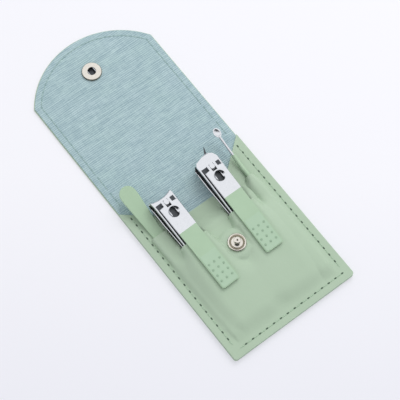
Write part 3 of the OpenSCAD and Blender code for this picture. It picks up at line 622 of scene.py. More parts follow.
def nail_mid(y):
    """Middle of the nail clipper, which leans a little, at height y."""
    return NAIL_PIN[0] + (NAIL_PIN[1] - y) * LEAN


def pusher_mid(y):
    """Middle of the nail pusher at height y."""
    return PUSHER[0] + (PUSHER[1] - y) * LEAN


def panel_top(x):
    """Height of the panel's top edge: straight in the middle and rising to a horn at each side."""
    rise = (PANEL_HORN - PANEL_MID) / (HALF_W - HORN_FROM)
    past = abs(x) - HORN_FROM
    if past < -HORN_SOFT:
        return PANEL_MID
    if past > HORN_SOFT:
        return PANEL_MID + rise * past
    return PANEL_MID + rise * (past + HORN_SOFT) ** 2 / (4 * HORN_SOFT)


# %% [markdown]
# Three kinds of hump lie on the panel: a low swell of the whole pocket, a high flat one over each
# clipper's jaws, and a narrow one over the pusher and the ear pick. The stud sits on a level place of
# its own. Where they overlap, the highest one counts.

# %% Swell of the pocket
SWELL = 3.0
SWELL_RUN_LOW = 20.0
SWELL_RUN_LEFT = 9.0
SWELL_RUN_RIGHT = 14.0
SWELL_ENDS = (1.0, 8.0)
PICK_SIDE = (18.0, 21.0)
PICK_LATE = 3.0


def swell(x, y):
    """Low swell of the whole pocket, gone at the seams and above the slits, later beside the pick."""
    seam = HALF_W - SEAM_W
    slit = CLIP_SLIT + PICK_LATE * ease_in(*PICK_SIDE, x)
    return (SWELL * ease_in(SEAM_W, SEAM_W + SWELL_RUN_LOW, y)
            * (1 - ease_in(slit + SWELL_ENDS[0], slit + SWELL_ENDS[1], y))
            * ease_in(-seam, -seam + SWELL_RUN_LEFT, x) * (1 - ease_in(seam - SWELL_RUN_RIGHT, seam, x)))


# %% [markdown]
# The hump over a clipper follows the underside of its lever, which slopes, with a small gap. It is as
# wide as the slit's lip, steep there, and spreads further down, as leather does. The narrow humps
# follow the pusher and the pick: flat and reach say how far the top and the foot go to each side, low
# the height at the tool's lower end, rise the slope from there, and inner, outer and run how the foot
# spreads below the height wide. A row less than NEAR above a slit's lower edge still counts as below.

# %% Humps over the tools
NEAR = 0.01
JAW_REACH = 5.8
JAW_GAP = 0.2
LIP_REACH = 6.2
SLIT_REACH = 7.2
LEVER_DROP = 0.7
LEVER_GAP = 0.2
LIP_FALL = 1.0
SPREAD = 6.5
SPREAD_RUN = 14.0
CLIPPER_RISE = 9.0
NARROW_RISE = 7.0
OVER_PUSHER = {"slit": PUSHER[1], "flat": 3.1, "reach": 3.9, "low": 1.3, "rise": 1 / 54.6, "end": 14.0,
               "wide": CLIP_SLIT, "inner": 3.0, "outer": 0.0, "run": 12.0}
OVER_PICK = {"slit": PICK[1], "flat": 1.0, "reach": 2.0, "low": 2.5, "rise": 0.95 / 45, "end": 22.0,
             "wide": PICK[1], "inner": 5.0, "outer": 2.2, "run": 6.0}


def over_clipper(x, y, middle, pin_y):
    """Hump over a clipper's jaws, steep at the slit and spreading further down."""
    if y > CLIP_SLIT + NEAR:
        return 0
    under_lever = (AXLE_Z - BACK_T - LEVER_DROP / math.cos(LEVER_SLOPE) - PANEL_T - LEVER_GAP
                   - (pin_y - y) * math.tan(LEVER_SLOPE))
    fall = LIP_REACH + LIP_FALL + SPREAD * ease_in(0, SPREAD_RUN, CLIP_SLIT - y)
    base = swell(x, y)
    return base + ((under_lever * ease_in(0, CLIPPER_RISE, y - SEAM_W) - base)
                   * (1 - ease_in(LIP_REACH, fall, abs(x - middle))))


def over_narrow(x, y, middle, slit, flat, reach, low, rise, end, wide, inner, outer, run):
    """Hump over a narrow tool, which spreads to both sides below the height wide."""
    if y > slit + NEAR:
        return 0
    more = (inner if abs(x) < abs(middle) else outer) * ease_in(0, run, wide - y)
    return ((low + rise * (y - end)) * ease_in(0, NARROW_RISE, y - SEAM_W)
            * (1 - ease_in(flat, reach + more, abs(x - middle))))


# %% The panel's height
SEAT_HUMP = (5.2, 13.5)
SEAT_EDGE = (4.85, 6.9)


def panel_low(x, y):
    """Height of the panel's underside, before it is pulled tight."""
    base = swell(x, y)
    if y > CLIP_SLIT + NEAR:
        for middle in (nail_mid(y), SLANT_PIN[0]):
            base *= ease_in(JAW_REACH + JAW_GAP, SLIT_REACH, abs(x - middle))
    seat = STUD_SEAT - PANEL_T - BACK_T
    round_stud = math.hypot(x - STUD[0], y - STUD[1])
    cover = max(base, over_clipper(x, y, nail_mid(y), NAIL_PIN[1]),
                over_clipper(x, y, *SLANT_PIN),
                over_narrow(x, y, pusher_mid(y), **OVER_PUSHER),
                over_narrow(x, y, PICK[0], **OVER_PICK),
                seat * (1 - ease_in(*SEAT_HUMP, round_stud)))
    beside_stud = max(abs(x - STUD[0]), abs(y - STUD[1]))
    level = 1 - ease_in(*SEAT_EDGE, beside_stud)
    return BACK_T + cover * (1 - level) + seat * level


# %% [markdown]
# Leather that is sewn down along both sides is also pulled tight, so below the slits it doesn't fall
# into every hollow between the tools but spans them. Across one row that is the upper hull of the
# humps, as of a string laid over them. The panel gets most of it, and none of it round the stud, which
# holds the leather down.

# %% Pull the panel tight
TIGHT = 0.85
TIGHT_RUN = 12.0
TIGHT_ENDS = (CLIP_SLIT - 8, CLIP_SLIT - 0.5)
STUD_FREE = (6.5, 17.0)
HULL_STEPS = 140
hulls = {}


def hull_at(y):
    """Upper hull of the panel's underside across the case at height y, as (x, z) points."""
    if y not in hulls:
        hull = []
        for i in range(HULL_STEPS + 1):
            x = (2 * i / HULL_STEPS - 1) * (HALF_W - SEAM_W)
            z = panel_low(x, y)
            while len(hull) > 1 and ((hull[-1][0] - hull[-2][0]) * (z - hull[-2][1])
                                     >= (x - hull[-2][0]) * (hull[-1][1] - hull[-2][1])):
                hull.pop()
            hull.append((x, z))
        hulls[y] = hull
    return hulls[y]


def tight_low(x, y):
    """Height of the panel's underside once it is pulled tight."""
    low = panel_low(x, y)
    share = (TIGHT * ease_in(SEAM_W, SEAM_W + TIGHT_RUN, y) * (1 - ease_in(*TIGHT_ENDS, y))
             * ease_in(*STUD_FREE, math.hypot(x - STUD[0], y - STUD[1])))
    if share == 0 or abs(x) >= HALF_W - SEAM_W:
        return low
    for (x0, z0), (x1, z1) in zip(hull_at(y), hull_at(y)[1:]):
        if x0 <= x <= x1:
            return low + share * max(0, z0 + (z1 - z0) * (x - x0) / (x1 - x0) - low)
    return low


# %% [markdown]
# The panel is a net like the back's, and its slits are narrow gaps where faces are deleted. A Boolean
# would cut them too, but with long thin faces that bend badly over the humps. So the net's lines pass
# through the ends of the slits; those on the left lean with the pusher and the nail clipper, and the
# rows above the clippers' slits fan out to the slanted top edge.

# %% Lines of the panel's net
SLITS = [(nail_mid(CLIP_SLIT), CLIP_SLIT, SLIT_REACH), (SLANT_PIN[0], CLIP_SLIT, SLIT_REACH),
         (*PUSHER, OVER_PUSHER["reach"]), (*PICK, OVER_PICK["reach"])]
ROW_ROOM = 0.2
FAN_FROM = CLIP_SLIT + 2
FAN_KNEE = PUSHER[1] + SLIT_GAP + ROW_ROOM
HORN_FULL = 20.0
LEAN_STARTS = (-34.0, -30.6)
LEAN_ENDS = (-8.7, -5.6)
NAIL_LIP = -16.0
PANEL_CORNER = (0, 0.12, 0.4, 0.75, 1.1, CORNER_R)
NET_STEP_X = 0.6
NET_STEP_Y = 0.8
PANEL_EDGE = 0.12


def lean_of(x, y):
    """How far a line on the left has run to the right at height y."""
    share = ease_in(*LEAN_STARTS, x) * (1 - ease_in(*LEAN_ENDS, x))
    return share * max(0, PUSHER[1] - y) * LEAN


def fan(x, y):
    """Height of a row at x: rows above the clipper slits fan out to the top edge."""
    if y <= FAN_FROM:
        return y
    middle = 1 - ease_in(HORN_FROM, HORN_FULL, abs(x))
    top = panel_top(x)
    packed = FAN_FROM + (top - FAN_FROM) * (FAN_KNEE - FAN_FROM) / (PANEL_HORN - FAN_FROM)
    knee = FAN_KNEE + (packed - FAN_KNEE) * middle
    if y <= FAN_KNEE:
        return FAN_FROM + (y - FAN_FROM) * (knee - FAN_FROM) / (FAN_KNEE - FAN_FROM)
    return knee + (y - FAN_KNEE) * (top - knee) / (PANEL_HORN - FAN_KNEE)


def on_panel(x, y):
    """A crossing of the panel's net, at its place in metres."""
    y = fan(x, y)
    if y < CORNER_R and abs(x) > STEADY_X:
        x = on_outline(x, max(y, 0), 0)[0]
    x += lean_of(x, y)
    return at(x, y, tight_low(x, y))


# %% Build the panel
slit_ends = [(x - lean_of(x, y), reach) for x, y, reach in SLITS]
slit_ends += [(middle, LIP_REACH) for middle in (NAIL_LIP, SLANT_PIN[0])]
columns = {round(x + side * reach, 3) for x, reach in slit_ends for side in (-1, 1)}
columns |= {side * (HALF_W - inset) for side in (-1, 1) for inset in (0, EDGE_LINE, SEAM_W)}
rows = {*PANEL_CORNER, SEAM_W, FAN_KNEE, PANEL_HORN}
rows |= {y + gap for _, y, _ in SLITS for gap in (0, SLIT_GAP)}
panel = net("front_panel", spread(sorted(columns), NET_STEP_X), spread(sorted(rows), NET_STEP_Y),
            on_panel)


def in_slit(face):
    """Whether a face lies in one of the slits."""
    x, y = face.center.x / MM, face.center.y / MM - BOTTOM
    return any(slit < y < slit + SLIT_GAP and abs(x - middle) < reach for middle, slit, reach in SLITS)


pick_faces(panel, in_slit)
bpy.ops.mesh.delete(type="FACE")
bpy.ops.object.mode_set(mode="OBJECT")
modify(panel, "SOLIDIFY", thickness=PANEL_T * MM, offset=1.0)
modify(panel, "BEVEL", width=PANEL_EDGE * MM, segments=2, limit_method="ANGLE",
       angle_limit=math.radians(70))
settle(panel, "green_leather", LEATHER, smooth=60, stands_for=["pocket_front"])
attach(panel, "case")

# %% [markdown]
# ## Stitching
#
# A stitch is a short thread that dips into the leather at both ends, with a needle hole between one
# stitch and the next. The thread could be one long curve that goes in and out of the leather, but the
# half of it below would never show. So one stitch is shaped from a small sphere, and the hole is a dark
# flat patch of painted shade shaped from one too, both with few faces because there are so many, and
# copied along the seams.

# %% One stitch and one needle hole
STITCH_LEN = 3.0
THREAD_D = 0.5
THREAD_FLAT = 0.8
STITCH_LIFT = 0.05
HOLE_SIZE = (1.6, 0.75, 0.16)
HOLE_LIFT = 0.02


def small_pebble(name, length, width, height):
    """A rounded pebble with few faces, long in x: a sphere of one millimetre, scaled to size."""
    clear_selection()
    bpy.ops.mesh.primitive_uv_sphere_add(segments=8, ring_count=6, radius=0.5 * MM,
                                         rotation=(0, math.pi / 2, 0))
    piece = bpy.context.object
    bpy.ops.object.transform_apply(location=True, rotation=True, scale=True)
    bpy.ops.transform.resize(value=(length, width, height))
    bpy.ops.object.transform_apply(location=True, rotation=True, scale=True)
    piece.name = name
    return piece


stitch = small_pebble("stitch", STITCH_LEN, THREAD_D, THREAD_D * THREAD_FLAT)
hole = small_pebble("needle_hole", *HOLE_SIZE)

# %% [markdown]
# The seams run at one distance from the edge: up both sides, along the pocket's bottom and round the
# flap's arc. An Array modifier could repeat the stitches along a curve; plain places keep the count and
# the pitch in sight. Each function gives the places of the stitches on one stretch, and the same places
# shifted by half a pitch are those of the needle holes.

# %% Places of the stitches
STITCH_PITCH = 4.05
STITCH_INSET = 3.5
ON_PANEL = BACK_T + PANEL_T


def seam(name, body, slot, material, pebble, places, stands_for=()):
    """Copies of a pebble at (x, y, z, turn) places, joined to one piece."""
    made = []
    for x, y, z, turn in places:
        piece = copy_of(pebble, name)
        piece.data.transform(Matrix.Translation(at(x, y, z)) @ Matrix.Rotation(turn, 4, "Z"))
        made.append(piece)
    piece = settle(join(name, made), slot, material, smooth=60, stands_for=stands_for)
    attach(piece, body)


def side_places(low, high, z, shift):
    """Places of stitches up both sides between two heights."""
    count = max(1, math.floor((high - low) / STITCH_PITCH))
    start = (low + high - (count - 1) * STITCH_PITCH) / 2
    return [(side * (HALF_W - STITCH_INSET), start + (i + shift) * STITCH_PITCH, z, math.pi / 2)
            for side in (-1, 1) for i in range(count)]


def bottom_places(z, shift):
    """Places of stitches along the pocket's bottom edge."""
    count = math.floor((2 * HALF_W - 2 * STITCH_INSET) / STITCH_PITCH)
    return [((i + shift - (count - 1) / 2) * STITCH_PITCH, STITCH_INSET, z, 0) for i in range(count)]


def arc_places(z, shift):
    """Places of stitches along the flap's arc."""
    r = ARC_R - STITCH_INSET
    end = math.asin((HALF_W - STITCH_INSET) / r)
    count = math.floor(2 * end * r / STITCH_PITCH)
    turns = [-end + (i + 0.5 + shift) * 2 * end / count for i in range(count)]
    return [(r * math.sin(t), TOP - ARC_R + r * math.cos(t), z, -t) for t in turns]


# %% Sew the seams
arc_foot = TOP - ARC_R + math.sqrt((ARC_R - STITCH_INSET) ** 2 - (HALF_W - STITCH_INSET) ** 2)
side_low = STITCH_INSET + 1
side_high = panel_top(HALF_W - STITCH_INSET) - 1
SEAMS = [
    ("pocket", "case", ON_PANEL, "pocket_thread",
     lambda z, shift: bottom_places(z, shift) + side_places(side_low, side_high, z, shift)),
    ("lower_spine", "lower_fold", BACK_T, "fold_thread_lower",
     lambda z, shift: side_places(CREASES[0], CREASES[1], z, shift)),
    ("upper_spine", "upper_fold", BACK_T, "fold_thread_upper",
     lambda z, shift: side_places(CREASES[1], CREASES[2], z, shift)),
    ("flap", "flap", BACK_T, "flap_thread",
     lambda z, shift: side_places(CREASES[2], arc_foot, z, shift) + arc_places(z, shift)),
]
for name, body, z, node, places in SEAMS:
    thread, shade = (THREAD, HOLE_SHADE) if z == ON_PANEL else (CLOTH_THREAD, CLOTH_HOLE_SHADE)
    seam(f"{name}_stitches", body, "green_thread", thread, stitch, places(z + STITCH_LIFT, 0), [node])
    seam(f"{name}_painted_hole_shades", body, "green_thread", shade, hole, places(z + HOLE_LIFT, 0.5))
bpy.data.objects.remove(stitch)
bpy.data.objects.remove(hole)

# %% [markdown]
# ## Hard pieces that keep their CAD shape
#
# The clippers' parts are stamped from steel, ground, tumbled and plated. Their shapes are right in the
# CAD frame, but a CAD solid has knife-sharp edges, and no pressed or ground steel has. They could be
# modelled again from cubes; a copy of the node is surer to fit the parts it moves against. The copy is
# merged to one skin, and its edges are rounded with a bevel, which catches the light along them.

# %% Round a copy of a node
SHARP_ANGLE = 30


def merged_copy(node, name):
    """A copy of a CAD node, its loose triangles merged to one skin of large faces."""
    piece = copy_of(nodes[node], name)
    piece.parent = None
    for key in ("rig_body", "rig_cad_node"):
        del piece[key]
    take(piece)
    bpy.ops.object.mode_set(mode="EDIT")
    bpy.ops.mesh.select_all(action="SELECT")
    bpy.ops.mesh.remove_doubles(threshold=0.001 * MM)
    bpy.ops.mesh.dissolve_limited(angle_limit=math.radians(2))
    bpy.ops.object.mode_set(mode="OBJECT")
    for face in piece.data.polygons:
        face.material_index = 0
    return piece


def soften(piece, width):
    """Rounds the sharp edges of a piece."""
    modify(piece, "BEVEL", width=width * MM, segments=2, limit_method="ANGLE",
           angle_limit=math.radians(SHARP_ANGLE))
    return piece


def flatten_shading(piece):
    """Lets the large faces set the shading, so that flat plates look flat up to their round edges."""
    modify(piece, "WEIGHTED_NORMAL", weight=100, keep_sharp=True)


# %% [markdown]
# Some edges are rounded more than the others: the jaws' long sides, which tumbling wears down, and the
# shoulders of the levers, which the press draws over. To find them on both clippers by one rule, places
# are read in the clipper's own frame, with its origin on the axle, y to the head and z square to the
# lever. The frame is worked out from the joints, so it is right even where a clipper leans.

# %% A clipper's own frame


def own_frame(clipper):
    """Matrix of a clipper's own frame."""
    lift, turn = joints[f"{clipper}_lever_lift"], joints[f"{clipper}_pin_turn"]
    x, z = Vector(lift["axis"]), Vector(turn["axis"])
    x = x if x.x > 0 else -x
    z = z if z.z > 0 else -z
    return Matrix.Translation(lift["pos_m"]) @ Matrix((x, z.cross(x), z)).transposed().to_4x4()


def round_edges(piece, place, wanted, width, clamp):
    """Rounds those edges whose two ends, in a clipper's own millimetres, pass the test."""
    take(piece)
    to_own = place.inverted()
    spots = [to_own @ vertex.co / MM for vertex in piece.data.vertices]
    bpy.ops.object.mode_set(mode="EDIT")
    bpy.ops.mesh.select_mode(type="EDGE")
    bpy.ops.mesh.select_all(action="DESELECT")
    bpy.ops.object.mode_set(mode="OBJECT")
    for edge in piece.data.edges:
        edge.select = wanted(*(spots[i] for i in edge.vertices))
    bpy.ops.object.mode_set(mode="EDIT")
    bpy.ops.mesh.bevel(offset=width * MM, segments=4, affect="EDGES", clamp_overlap=clamp)
    bpy.ops.object.mode_set(mode="OBJECT")


def cut_faces(piece, place, spot, across):
    """Cuts a piece's faces in two along a plane through a spot, square to one axis of the frame."""
    take(piece)
    bpy.ops.object.mode_set(mode="EDIT")
    bpy.ops.mesh.select_all(action="SELECT")
    bpy.ops.mesh.bisect(plane_co=place @ (Vector(spot) * MM), plane_no=place.col[across][:3])
    bpy.ops.object.mode_set(mode="OBJECT")


# %% [markdown]
# ## Jaws, pins and rivets
#
# A jaw is polished where the eye and the hand get to it. Between the jaws, under the lever and on its
# short spike its faces are coloured dark grey as painted shade, for the shade that falls there. A second
# material on those faces says that better than a darker lamp, because it stays right when the lever is
# lifted. The faces are first cut where the painted shade ends.

# %% Jaws, pins and rivets
SIDE_FROM = 5.7
SIDE_ROUND = 0.45
LONG_EDGE = 3.0
BRIGHT_FROM = 1.4
SPIKE_FROM = 8.0
SHADE_INSIDE = 5.1
LEVEL_FACE = 0.7
ROOF_FACE = 0.9


def long_side(a, b):
    """Whether an edge runs lengthwise along a jaw's side."""
    return min(abs(a.x), abs(b.x)) > SIDE_FROM and a.x * b.x > 0 and abs(a.y - b.y) > LONG_EDGE


def shade_where_hidden(jaw, place):
    """Marks with painted shade a jaw's flat faces between the jaws and under the lever, and its spike."""
    for spot, across in (((0, BRIGHT_FROM, 0), 1), ((-SHADE_INSIDE, 0, 0), 0), ((SHADE_INSIDE, 0, 0), 0)):
        cut_faces(jaw, place, spot, across)
    to_own = place.inverted()
    upper = "upper" in jaw.name
    for face in jaw.data.polygons:
        middle = to_own @ face.center / MM
        facing = (to_own.to_3x3() @ face.normal).z
        inside = facing < -LEVEL_FACE if upper else facing > LEVEL_FACE
        roof = upper and facing > ROOF_FACE and middle.y < BRIGHT_FROM
        hidden = (inside or roof) and abs(middle.x) < SHADE_INSIDE
        # Faces between the jaws, under the lever and on the spike get the dark painted shade.
        face.material_index = 1 if hidden or middle.y > SPIKE_FROM else 0


CLIPPERS = ("nail", "slant")
CLIPPER_PARTS = (("lower_jaw", "clipper", 0.12), ("upper_jaw", "jaw", 0.12),
                 ("rear_rivet", "clipper", 0.1), ("pin", "swivel", 0.1), ("axle", "lever_arm", 0.08))
for clipper in CLIPPERS:
    place = own_frame(clipper)
    for part, body, edge in CLIPPER_PARTS:
        piece = merged_copy(f"{clipper}_{part}", f"{clipper}_{part}_polished")
        if part.endswith("jaw"):
            round_edges(piece, place, long_side, SIDE_ROUND, clamp=False)
        soften(piece, edge)
        if part.endswith("jaw"):
            shade_where_hidden(piece, place)
        settle(piece, "chromed_steel", CHROME, DULL_STEEL_SHADE, smooth=40, stands_for=[f"{clipper}_{part}"])
        flatten_shading(piece)
        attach(piece, f"{clipper}_{body}")

# %% [markdown]
# ## Press stud
#
# The stud and the socket are thin brass cups, pressed and nickel plated, with beads and grooves that
# catch the light in rings. Cylinders could be stacked for them, but their joins would have to be merged
# one by one. Such a round piece is better a profile spun about its axis: the profile is drawn by
# extruding one vertex from point to point.

# %% Spin a profile


def turned(name, profile, x, y, base, edge):
    """Spins a closed profile of (radius, height over base) points about an upright axis at x, y."""
    clear_selection()
    bpy.ops.mesh.primitive_plane_add(size=MM)
    piece = bpy.context.object
    piece.name = piece.data.name = name
    bpy.ops.object.mode_set(mode="EDIT")
    bpy.ops.mesh.select_mode(type="VERT")
    bpy.ops.mesh.select_all(action="SELECT")
    bpy.ops.mesh.merge(type="CENTER")
    bpy.ops.transform.translate(value=at(x + profile[0][0], y, base + profile[0][1]))
    for (r0, z0), (r1, z1) in zip(profile, profile[1:] + profile[:1]):
        bpy.ops.mesh.extrude_region_move(
            TRANSFORM_OT_translate={"value": Vector((r1 - r0, 0, z1 - z0)) * MM})
    bpy.ops.mesh.select_all(action="SELECT")
    bpy.ops.mesh.spin(steps=ROUND_STEPS, angle=2 * math.pi, center=at(x, y, 0), axis=(0, 0, 1))
    bpy.ops.mesh.select_all(action="SELECT")
    bpy.ops.mesh.remove_doubles(threshold=0.002 * MM)
    bpy.ops.mesh.normals_make_consistent(inside=False)
    bpy.ops.object.mode_set(mode="OBJECT")
    modify(piece, "BEVEL", width=edge * MM, segments=3, limit_method="ANGLE",
           angle_limit=math.radians(25))
    return piece


def off_axis(face, spot):
    """How far a face's middle lies from an upright axis at a point of the pattern, in millimetres."""
    return math.hypot(face.center.x / MM - spot[0], face.center.y / MM - BOTTOM - spot[1])


# %% [markdown]
# The stud has a flange, a groove and a head with a neck, which the socket's wires snap behind. The
# socket is a ring with a hole. The groove of the stud and the rim of the socket are duller than the
# rest, since polishing doesn't reach them, and coloured darker as painted shade for the shade in the
# groove and along the rim. Both profiles start at the bottom and run outwards first, with heights over
# what the piece sits on: the panel's level place for the stud, the lining for the socket.

# %% Stud and socket
GROOVE = (3.0, 3.45)
GROOVE_TOP = 0.8
RIM_FROM = 4.65
STUD_EDGE = 0.12
SOCKET_EDGE = 0.06
STUD_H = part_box("snap_stud")[1].z / MM - STUD_SEAT
STUD_PROFILE = [
    (0.75, 0), (4.15, 0), (4.5, 0.3), (4.5, 0.7), (4.2, 1.0), (3.85, 1.0), (3.6, 0.85), (3.4, 0.2),
    (2.95, 0.2), (2.75, 0.75), (2.3, 0.85), (1.7, 1.1), (1.3, 1.5), (1.3, STUD_H - 0.55),
    (1.75, STUD_H - 0.4), (1.75, STUD_H - 0.25), (1.45, STUD_H), (0.85, STUD_H), (0.4, STUD_H - 0.15),
    (0.4, STUD_H - 0.5), (0.75, STUD_H - 0.9)]
SOCKET_PROFILE = [
    (2.75, 0), (4.55, 0), (4.9, 0.3), (4.9, 0.65), (4.65, 1.0), (4.1, 1.2), (3.3, 1.29), (2.5, 1.22),
    (2.15, 1.06), (2.1, 1.0), (3.05, 1.0), (3.05, 0.4), (2.75, 0.4)]
stud = turned("snap_stud_plated", STUD_PROFILE, *STUD, STUD_SEAT, STUD_EDGE)
# The groove's faces get the darker nickel, as painted shade.
for face in stud.data.polygons:
    low_down = face.center.z < (STUD_SEAT + GROOVE_TOP) * MM
    groove_shade = low_down and GROOVE[0] < off_axis(face, STUD) < GROOVE[1]
    face.material_index = 1 if groove_shade else 0
socket = turned("snap_socket_plated", SOCKET_PROFILE, *SOCKET, BACK_T, SOCKET_EDGE)
# The socket's rim gets the darker nickel, as painted shade.
for face in socket.data.polygons:
    face.material_index = 1 if off_axis(face, SOCKET) > RIM_FROM else 0
for piece, node, body in ((stud, "snap_stud", "case"), (socket, "snap_socket", "flap")):
    settle(piece, "nickel_plate", NICKEL, DULL_NICKEL_SHADE, smooth=50, stands_for=[node])
    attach(piece, body)

# %% [markdown]
# The rivet behind the stud, the cap outside the flap and the socket's two wires hardly show, and their
# CAD shapes are right, so they are rounded copies. The inside of the cap's barrel, which one sees
# through the socket's hole, is coloured dark grey as painted shade of the deep hole.

# %% Rivet, cap and spring
BARREL_WALL = 0.3
CAP_FLOOR = 0.3
rivet = soften(merged_copy("stud_rivet", "stud_rivet_plated"), 0.08)
settle(rivet, "nickel_plate", NICKEL, smooth=40, stands_for=["stud_rivet"])
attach(rivet, "case")
cap = soften(merged_copy("snap_cap", "snap_cap_plated"), 0.08)
# The barrel's inside gets the dark steel, as painted shade of the deep hole.
for face in cap.data.polygons:
    barrel_shade = off_axis(face, SOCKET) < BARREL_R - BARREL_WALL and face.center.z > CAP_FLOOR * MM
    face.material_index = 1 if barrel_shade else 0
settle(cap, "nickel_plate", NICKEL, DULL_STEEL_SHADE, smooth=40, stands_for=["snap_cap"])
flatten_shading(cap)
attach(cap, "flap")
spring = soften(merged_copy("snap_spring", "snap_spring_wire"), 0.05)
settle(spring, "spring_wire", SPRING_WIRE, smooth=60, stands_for=["snap_spring"])
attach(spring, "flap")

# %% [markdown]
# ## Levers
#
# A lever is pressed from steel strip and chromed; the handle end is then masked and coated. The thumb
# pad's coat is coloured paler, as painted light, and the dots on it darker, as painted shade. The
# coating could be a second piece laid on top, but it is thinner than a hair. So the faces are cut along
# the line between chrome and coating, square to the lever, and each face gets its material by its place:
# along the lever, and by its height on the pad.

# %% Levers
COATED_FROM = -16.0
PAD_FROM = 0.55
DOTS_FROM = 0.64
SHOULDER_ROUND = 0.45
LEVER_TOP = 0.45
LEVER_FRONT = -2.6
SHOULDER_FROM = 4.0
ACROSS_EDGE = 0.8
LEVEL_EDGE = 0.3


def shoulder(a, b):
    """Whether an edge runs across the top of one of a lever's front shoulders."""
    on_top = min(a.z, b.z) > LEVER_TOP
    across = abs(a.y - b.y) < LEVEL_EDGE and abs(a.x - b.x) > ACROSS_EDGE
    return on_top and across and max(abs(a.x), abs(b.x)) > SHOULDER_FROM and a.y > LEVER_FRONT


for clipper in CLIPPERS:
    place = own_frame(clipper)
    lever = merged_copy(f"{clipper}_lever", f"{clipper}_lever_coated")
    round_edges(lever, place, shoulder, SHOULDER_ROUND, clamp=True)
    soften(lever, 0.1)
    cut_faces(lever, place, (0, COATED_FROM, 0), 1)
    to_own = place.inverted()
    for face in lever.data.polygons:
        own = to_own @ face.center / MM
        # Material 2, the pad's, is painted light, and 3, the dots', is painted shade.
        coat = 1 + (own.z > PAD_FROM) + (own.z > DOTS_FROM)
        face.material_index = 0 if own.y > COATED_FROM else coat
    settle(lever, "green_enamel", CHROME, ENAMEL, PAD_PAINTED_LIGHT, DOT_PAINTED_SHADE, smooth=40, stands_for=[f"{clipper}_lever"])
    flatten_shading(lever)
    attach(lever, f"{clipper}_lever_arm")

# %% [markdown]
# ## Pusher and ear pick
#
# The pusher is a flat bar, pressed at one end to a paddle and coated all over. The ear pick is a bright
# wire with a small spoon, in a coated round handle. Both are plain shapes that the CAD frame has
# already, so they are rounded copies too, the pusher with a wide, soft edge for its thick coat.

# %% Pusher and ear pick
for node, body, slot, material, edge in (("nail_pusher", "pusher", "green_enamel", ENAMEL, 0.3),
                                         ("ear_pick_handle", "pick", "green_enamel", ENAMEL, 0.1),
                                         ("ear_pick", "pick", "chromed_steel", BRIGHT_WIRE, 0.08)):
    piece = soften(merged_copy(node, node + "_finished"), edge)
    settle(piece, slot, material, smooth=40, stands_for=[node])
    flatten_shading(piece)
    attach(piece, body)

# %% [markdown]
# ## Floor
#
# The case lies on plain pale paper. To the camera the paper partly glows by itself, a little less
# towards the near side of the table, so that it looks as even as in a light studio without more light
# on the case; it still shows the shadow.

# %% Floor
TABLE_DOWN = (-0.59, -0.80, 0.0)
FLOOR_SIZE = 10.0
FLOOR_DROP = 0.1
PAPER_DRIFT = 400
DIM_REACH = 0.11
GLOW = 0.5

clear_selection()
bpy.ops.mesh.primitive_plane_add(size=FLOOR_SIZE, location=(0, 0, -FLOOR_DROP * MM))
floor = bpy.context.object
floor.name = "floor"
paper, tree, surface, place = start_material("pale_paper_floor", roughness=0.9)
tone = add(tree, "ShaderNodeTexNoise", {"Vector": place, "Scale": per_mm(PAPER_DRIFT)})
paint(tree, surface, tone.outputs["Fac"], linear("#f2f2f7"), linear("#f5f5fa"))
seen = add(tree, "ShaderNodeLightPath").outputs["Is Camera Ray"]
share = add(tree, "ShaderNodeMath", {0: seen, 1: GLOW}, operation="MULTIPLY")
down = add(tree, "ShaderNodeVectorMath", {0: place, 1: TABLE_DOWN}, operation="DOT_PRODUCT")
near = add(tree, "ShaderNodeMapRange",
           {"Value": down.outputs["Value"], "From Min": 0.0, "From Max": DIM_REACH})
glow = add(tree, "ShaderNodeMix",
           {0: near.outputs[0], 6: linear("#f9f9fd"), 7: linear("#ebecf3")}, data_type="RGBA")
backdrop = add(tree, "ShaderNodeEmission", {"Color": glow.outputs[2], "Strength": 1.0})
both = add(tree, "ShaderNodeMixShader",
           {0: share.outputs[0], 1: surface.outputs[0], 2: backdrop.outputs[0]})
tree.links.new(both.outputs[0], tree.nodes["Material Output"].inputs["Surface"])
floor.data.materials.append(paper)
print(f"floor: {FLOOR_SIZE:.0f} m square, {len(floor.data.polygons)} face")

# %% [markdown]
# ## Lights
#
# One large soft lamp from the upper right of the picture gives the short soft shadows, and a white room
# fills them. Polished steel is only as good as what it mirrors: in a room that is white all round it
# looks like white paint. So a mirrored ray doesn't find the lamp but a room that is bright above and
# dark low down and on the near side, which draws the dark lines along the clippers' sides. In a world's
# shader, Generated is the way that the ray goes.

# %% Lights
LAMP_SIZE = 0.6
LAMP_POWER = 3.2
LAMP_AT = (0.48, 0.26, 0.62)
ROOM_LIGHT = 0.74
MIRRORED_LIGHT = 1.18
BRIGHT_ABOVE = 0.22
DARK_FROM = 0.6
CLEAR_FROM = 0.2

lamp = bpy.data.objects.new("key_lamp", bpy.data.lights.new("key_lamp", "AREA"))
lamp.data.size = LAMP_SIZE
lamp.data.energy = LAMP_POWER
lamp.visible_glossy = False
lamp.location = LAMP_AT
lamp.rotation_euler = (-lamp.location).to_track_quat("-Z", "Y").to_euler()
bpy.context.scene.collection.objects.link(lamp)

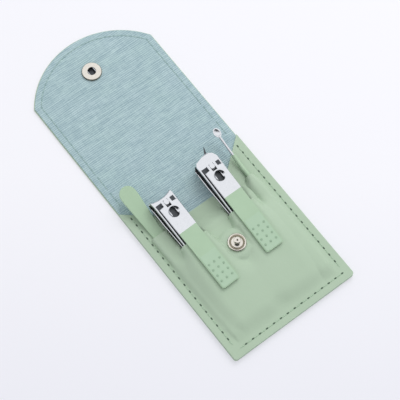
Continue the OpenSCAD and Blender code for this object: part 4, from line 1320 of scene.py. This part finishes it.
world = bpy.data.worlds.new("white_room")
bpy.context.scene.world = world
world.use_nodes = True
tree = world.node_tree
room = tree.nodes["Background"]
room.inputs["Color"].default_value = linear("#fafaff")
room.inputs["Strength"].default_value = ROOM_LIGHT
way = add(tree, "ShaderNodeTexCoord").outputs["Generated"]
up = add(tree, "ShaderNodeSeparateXYZ", {0: way}).outputs["Z"]
above = add(tree, "ShaderNodeMapRange", {"Value": up, "From Min": 0.0, "From Max": BRIGHT_ABOVE})
down = add(tree, "ShaderNodeVectorMath", {0: way, 1: TABLE_DOWN}, operation="DOT_PRODUCT")
clear = add(tree, "ShaderNodeMapRange",
            {"Value": down.outputs["Value"], "From Min": DARK_FROM, "From Max": CLEAR_FROM})
bright = add(tree, "ShaderNodeMath", {0: above.outputs[0], 1: clear.outputs[0]}, operation="MULTIPLY")
shine = add(tree, "ShaderNodeMix",
            {0: bright.outputs[0], 6: linear("#2c2d30"), 7: linear("#fcfcff")}, data_type="RGBA")
softbox = add(tree, "ShaderNodeBackground", {"Color": shine.outputs[2], "Strength": MIRRORED_LIGHT})
mirrored = add(tree, "ShaderNodeLightPath").outputs["Is Glossy Ray"]
both = add(tree, "ShaderNodeMixShader", {0: mirrored, 1: room.outputs[0], 2: softbox.outputs[0]})
tree.links.new(both.outputs[0], tree.nodes["World Output"].inputs["Surface"])
print(f"lamp: {LAMP_SIZE} m wide, {lamp.location.length:.2f} m away")

# %% [markdown]
# ## Camera
#
# The photograph was taken from above, a little to the near left, with a long lens. The camera's place
# and turn were fitted to the case's outline, a rectangle with an arc, whose real size is known.

# %% Camera
SENSOR = 36
LENS = 135
CAMERA_AT = (-192.5, -213.2, 649.2)
CAMERA_TURN = (22.913, -2.811, -37.683)

camera = bpy.data.objects.new("camera", bpy.data.cameras.new("camera"))
camera.data.sensor_width = SENSOR
camera.data.lens = LENS
camera.data.clip_end = FLOOR_SIZE
camera.location = Vector(CAMERA_AT) * MM
camera.rotation_euler = [math.radians(turn) for turn in CAMERA_TURN]
bpy.context.scene.collection.objects.link(camera)
bpy.context.scene.camera = camera
bpy.context.scene.view_settings.view_transform = "Standard"
print(f"camera: {LENS} mm lens, {camera.location.length:.2f} m away")
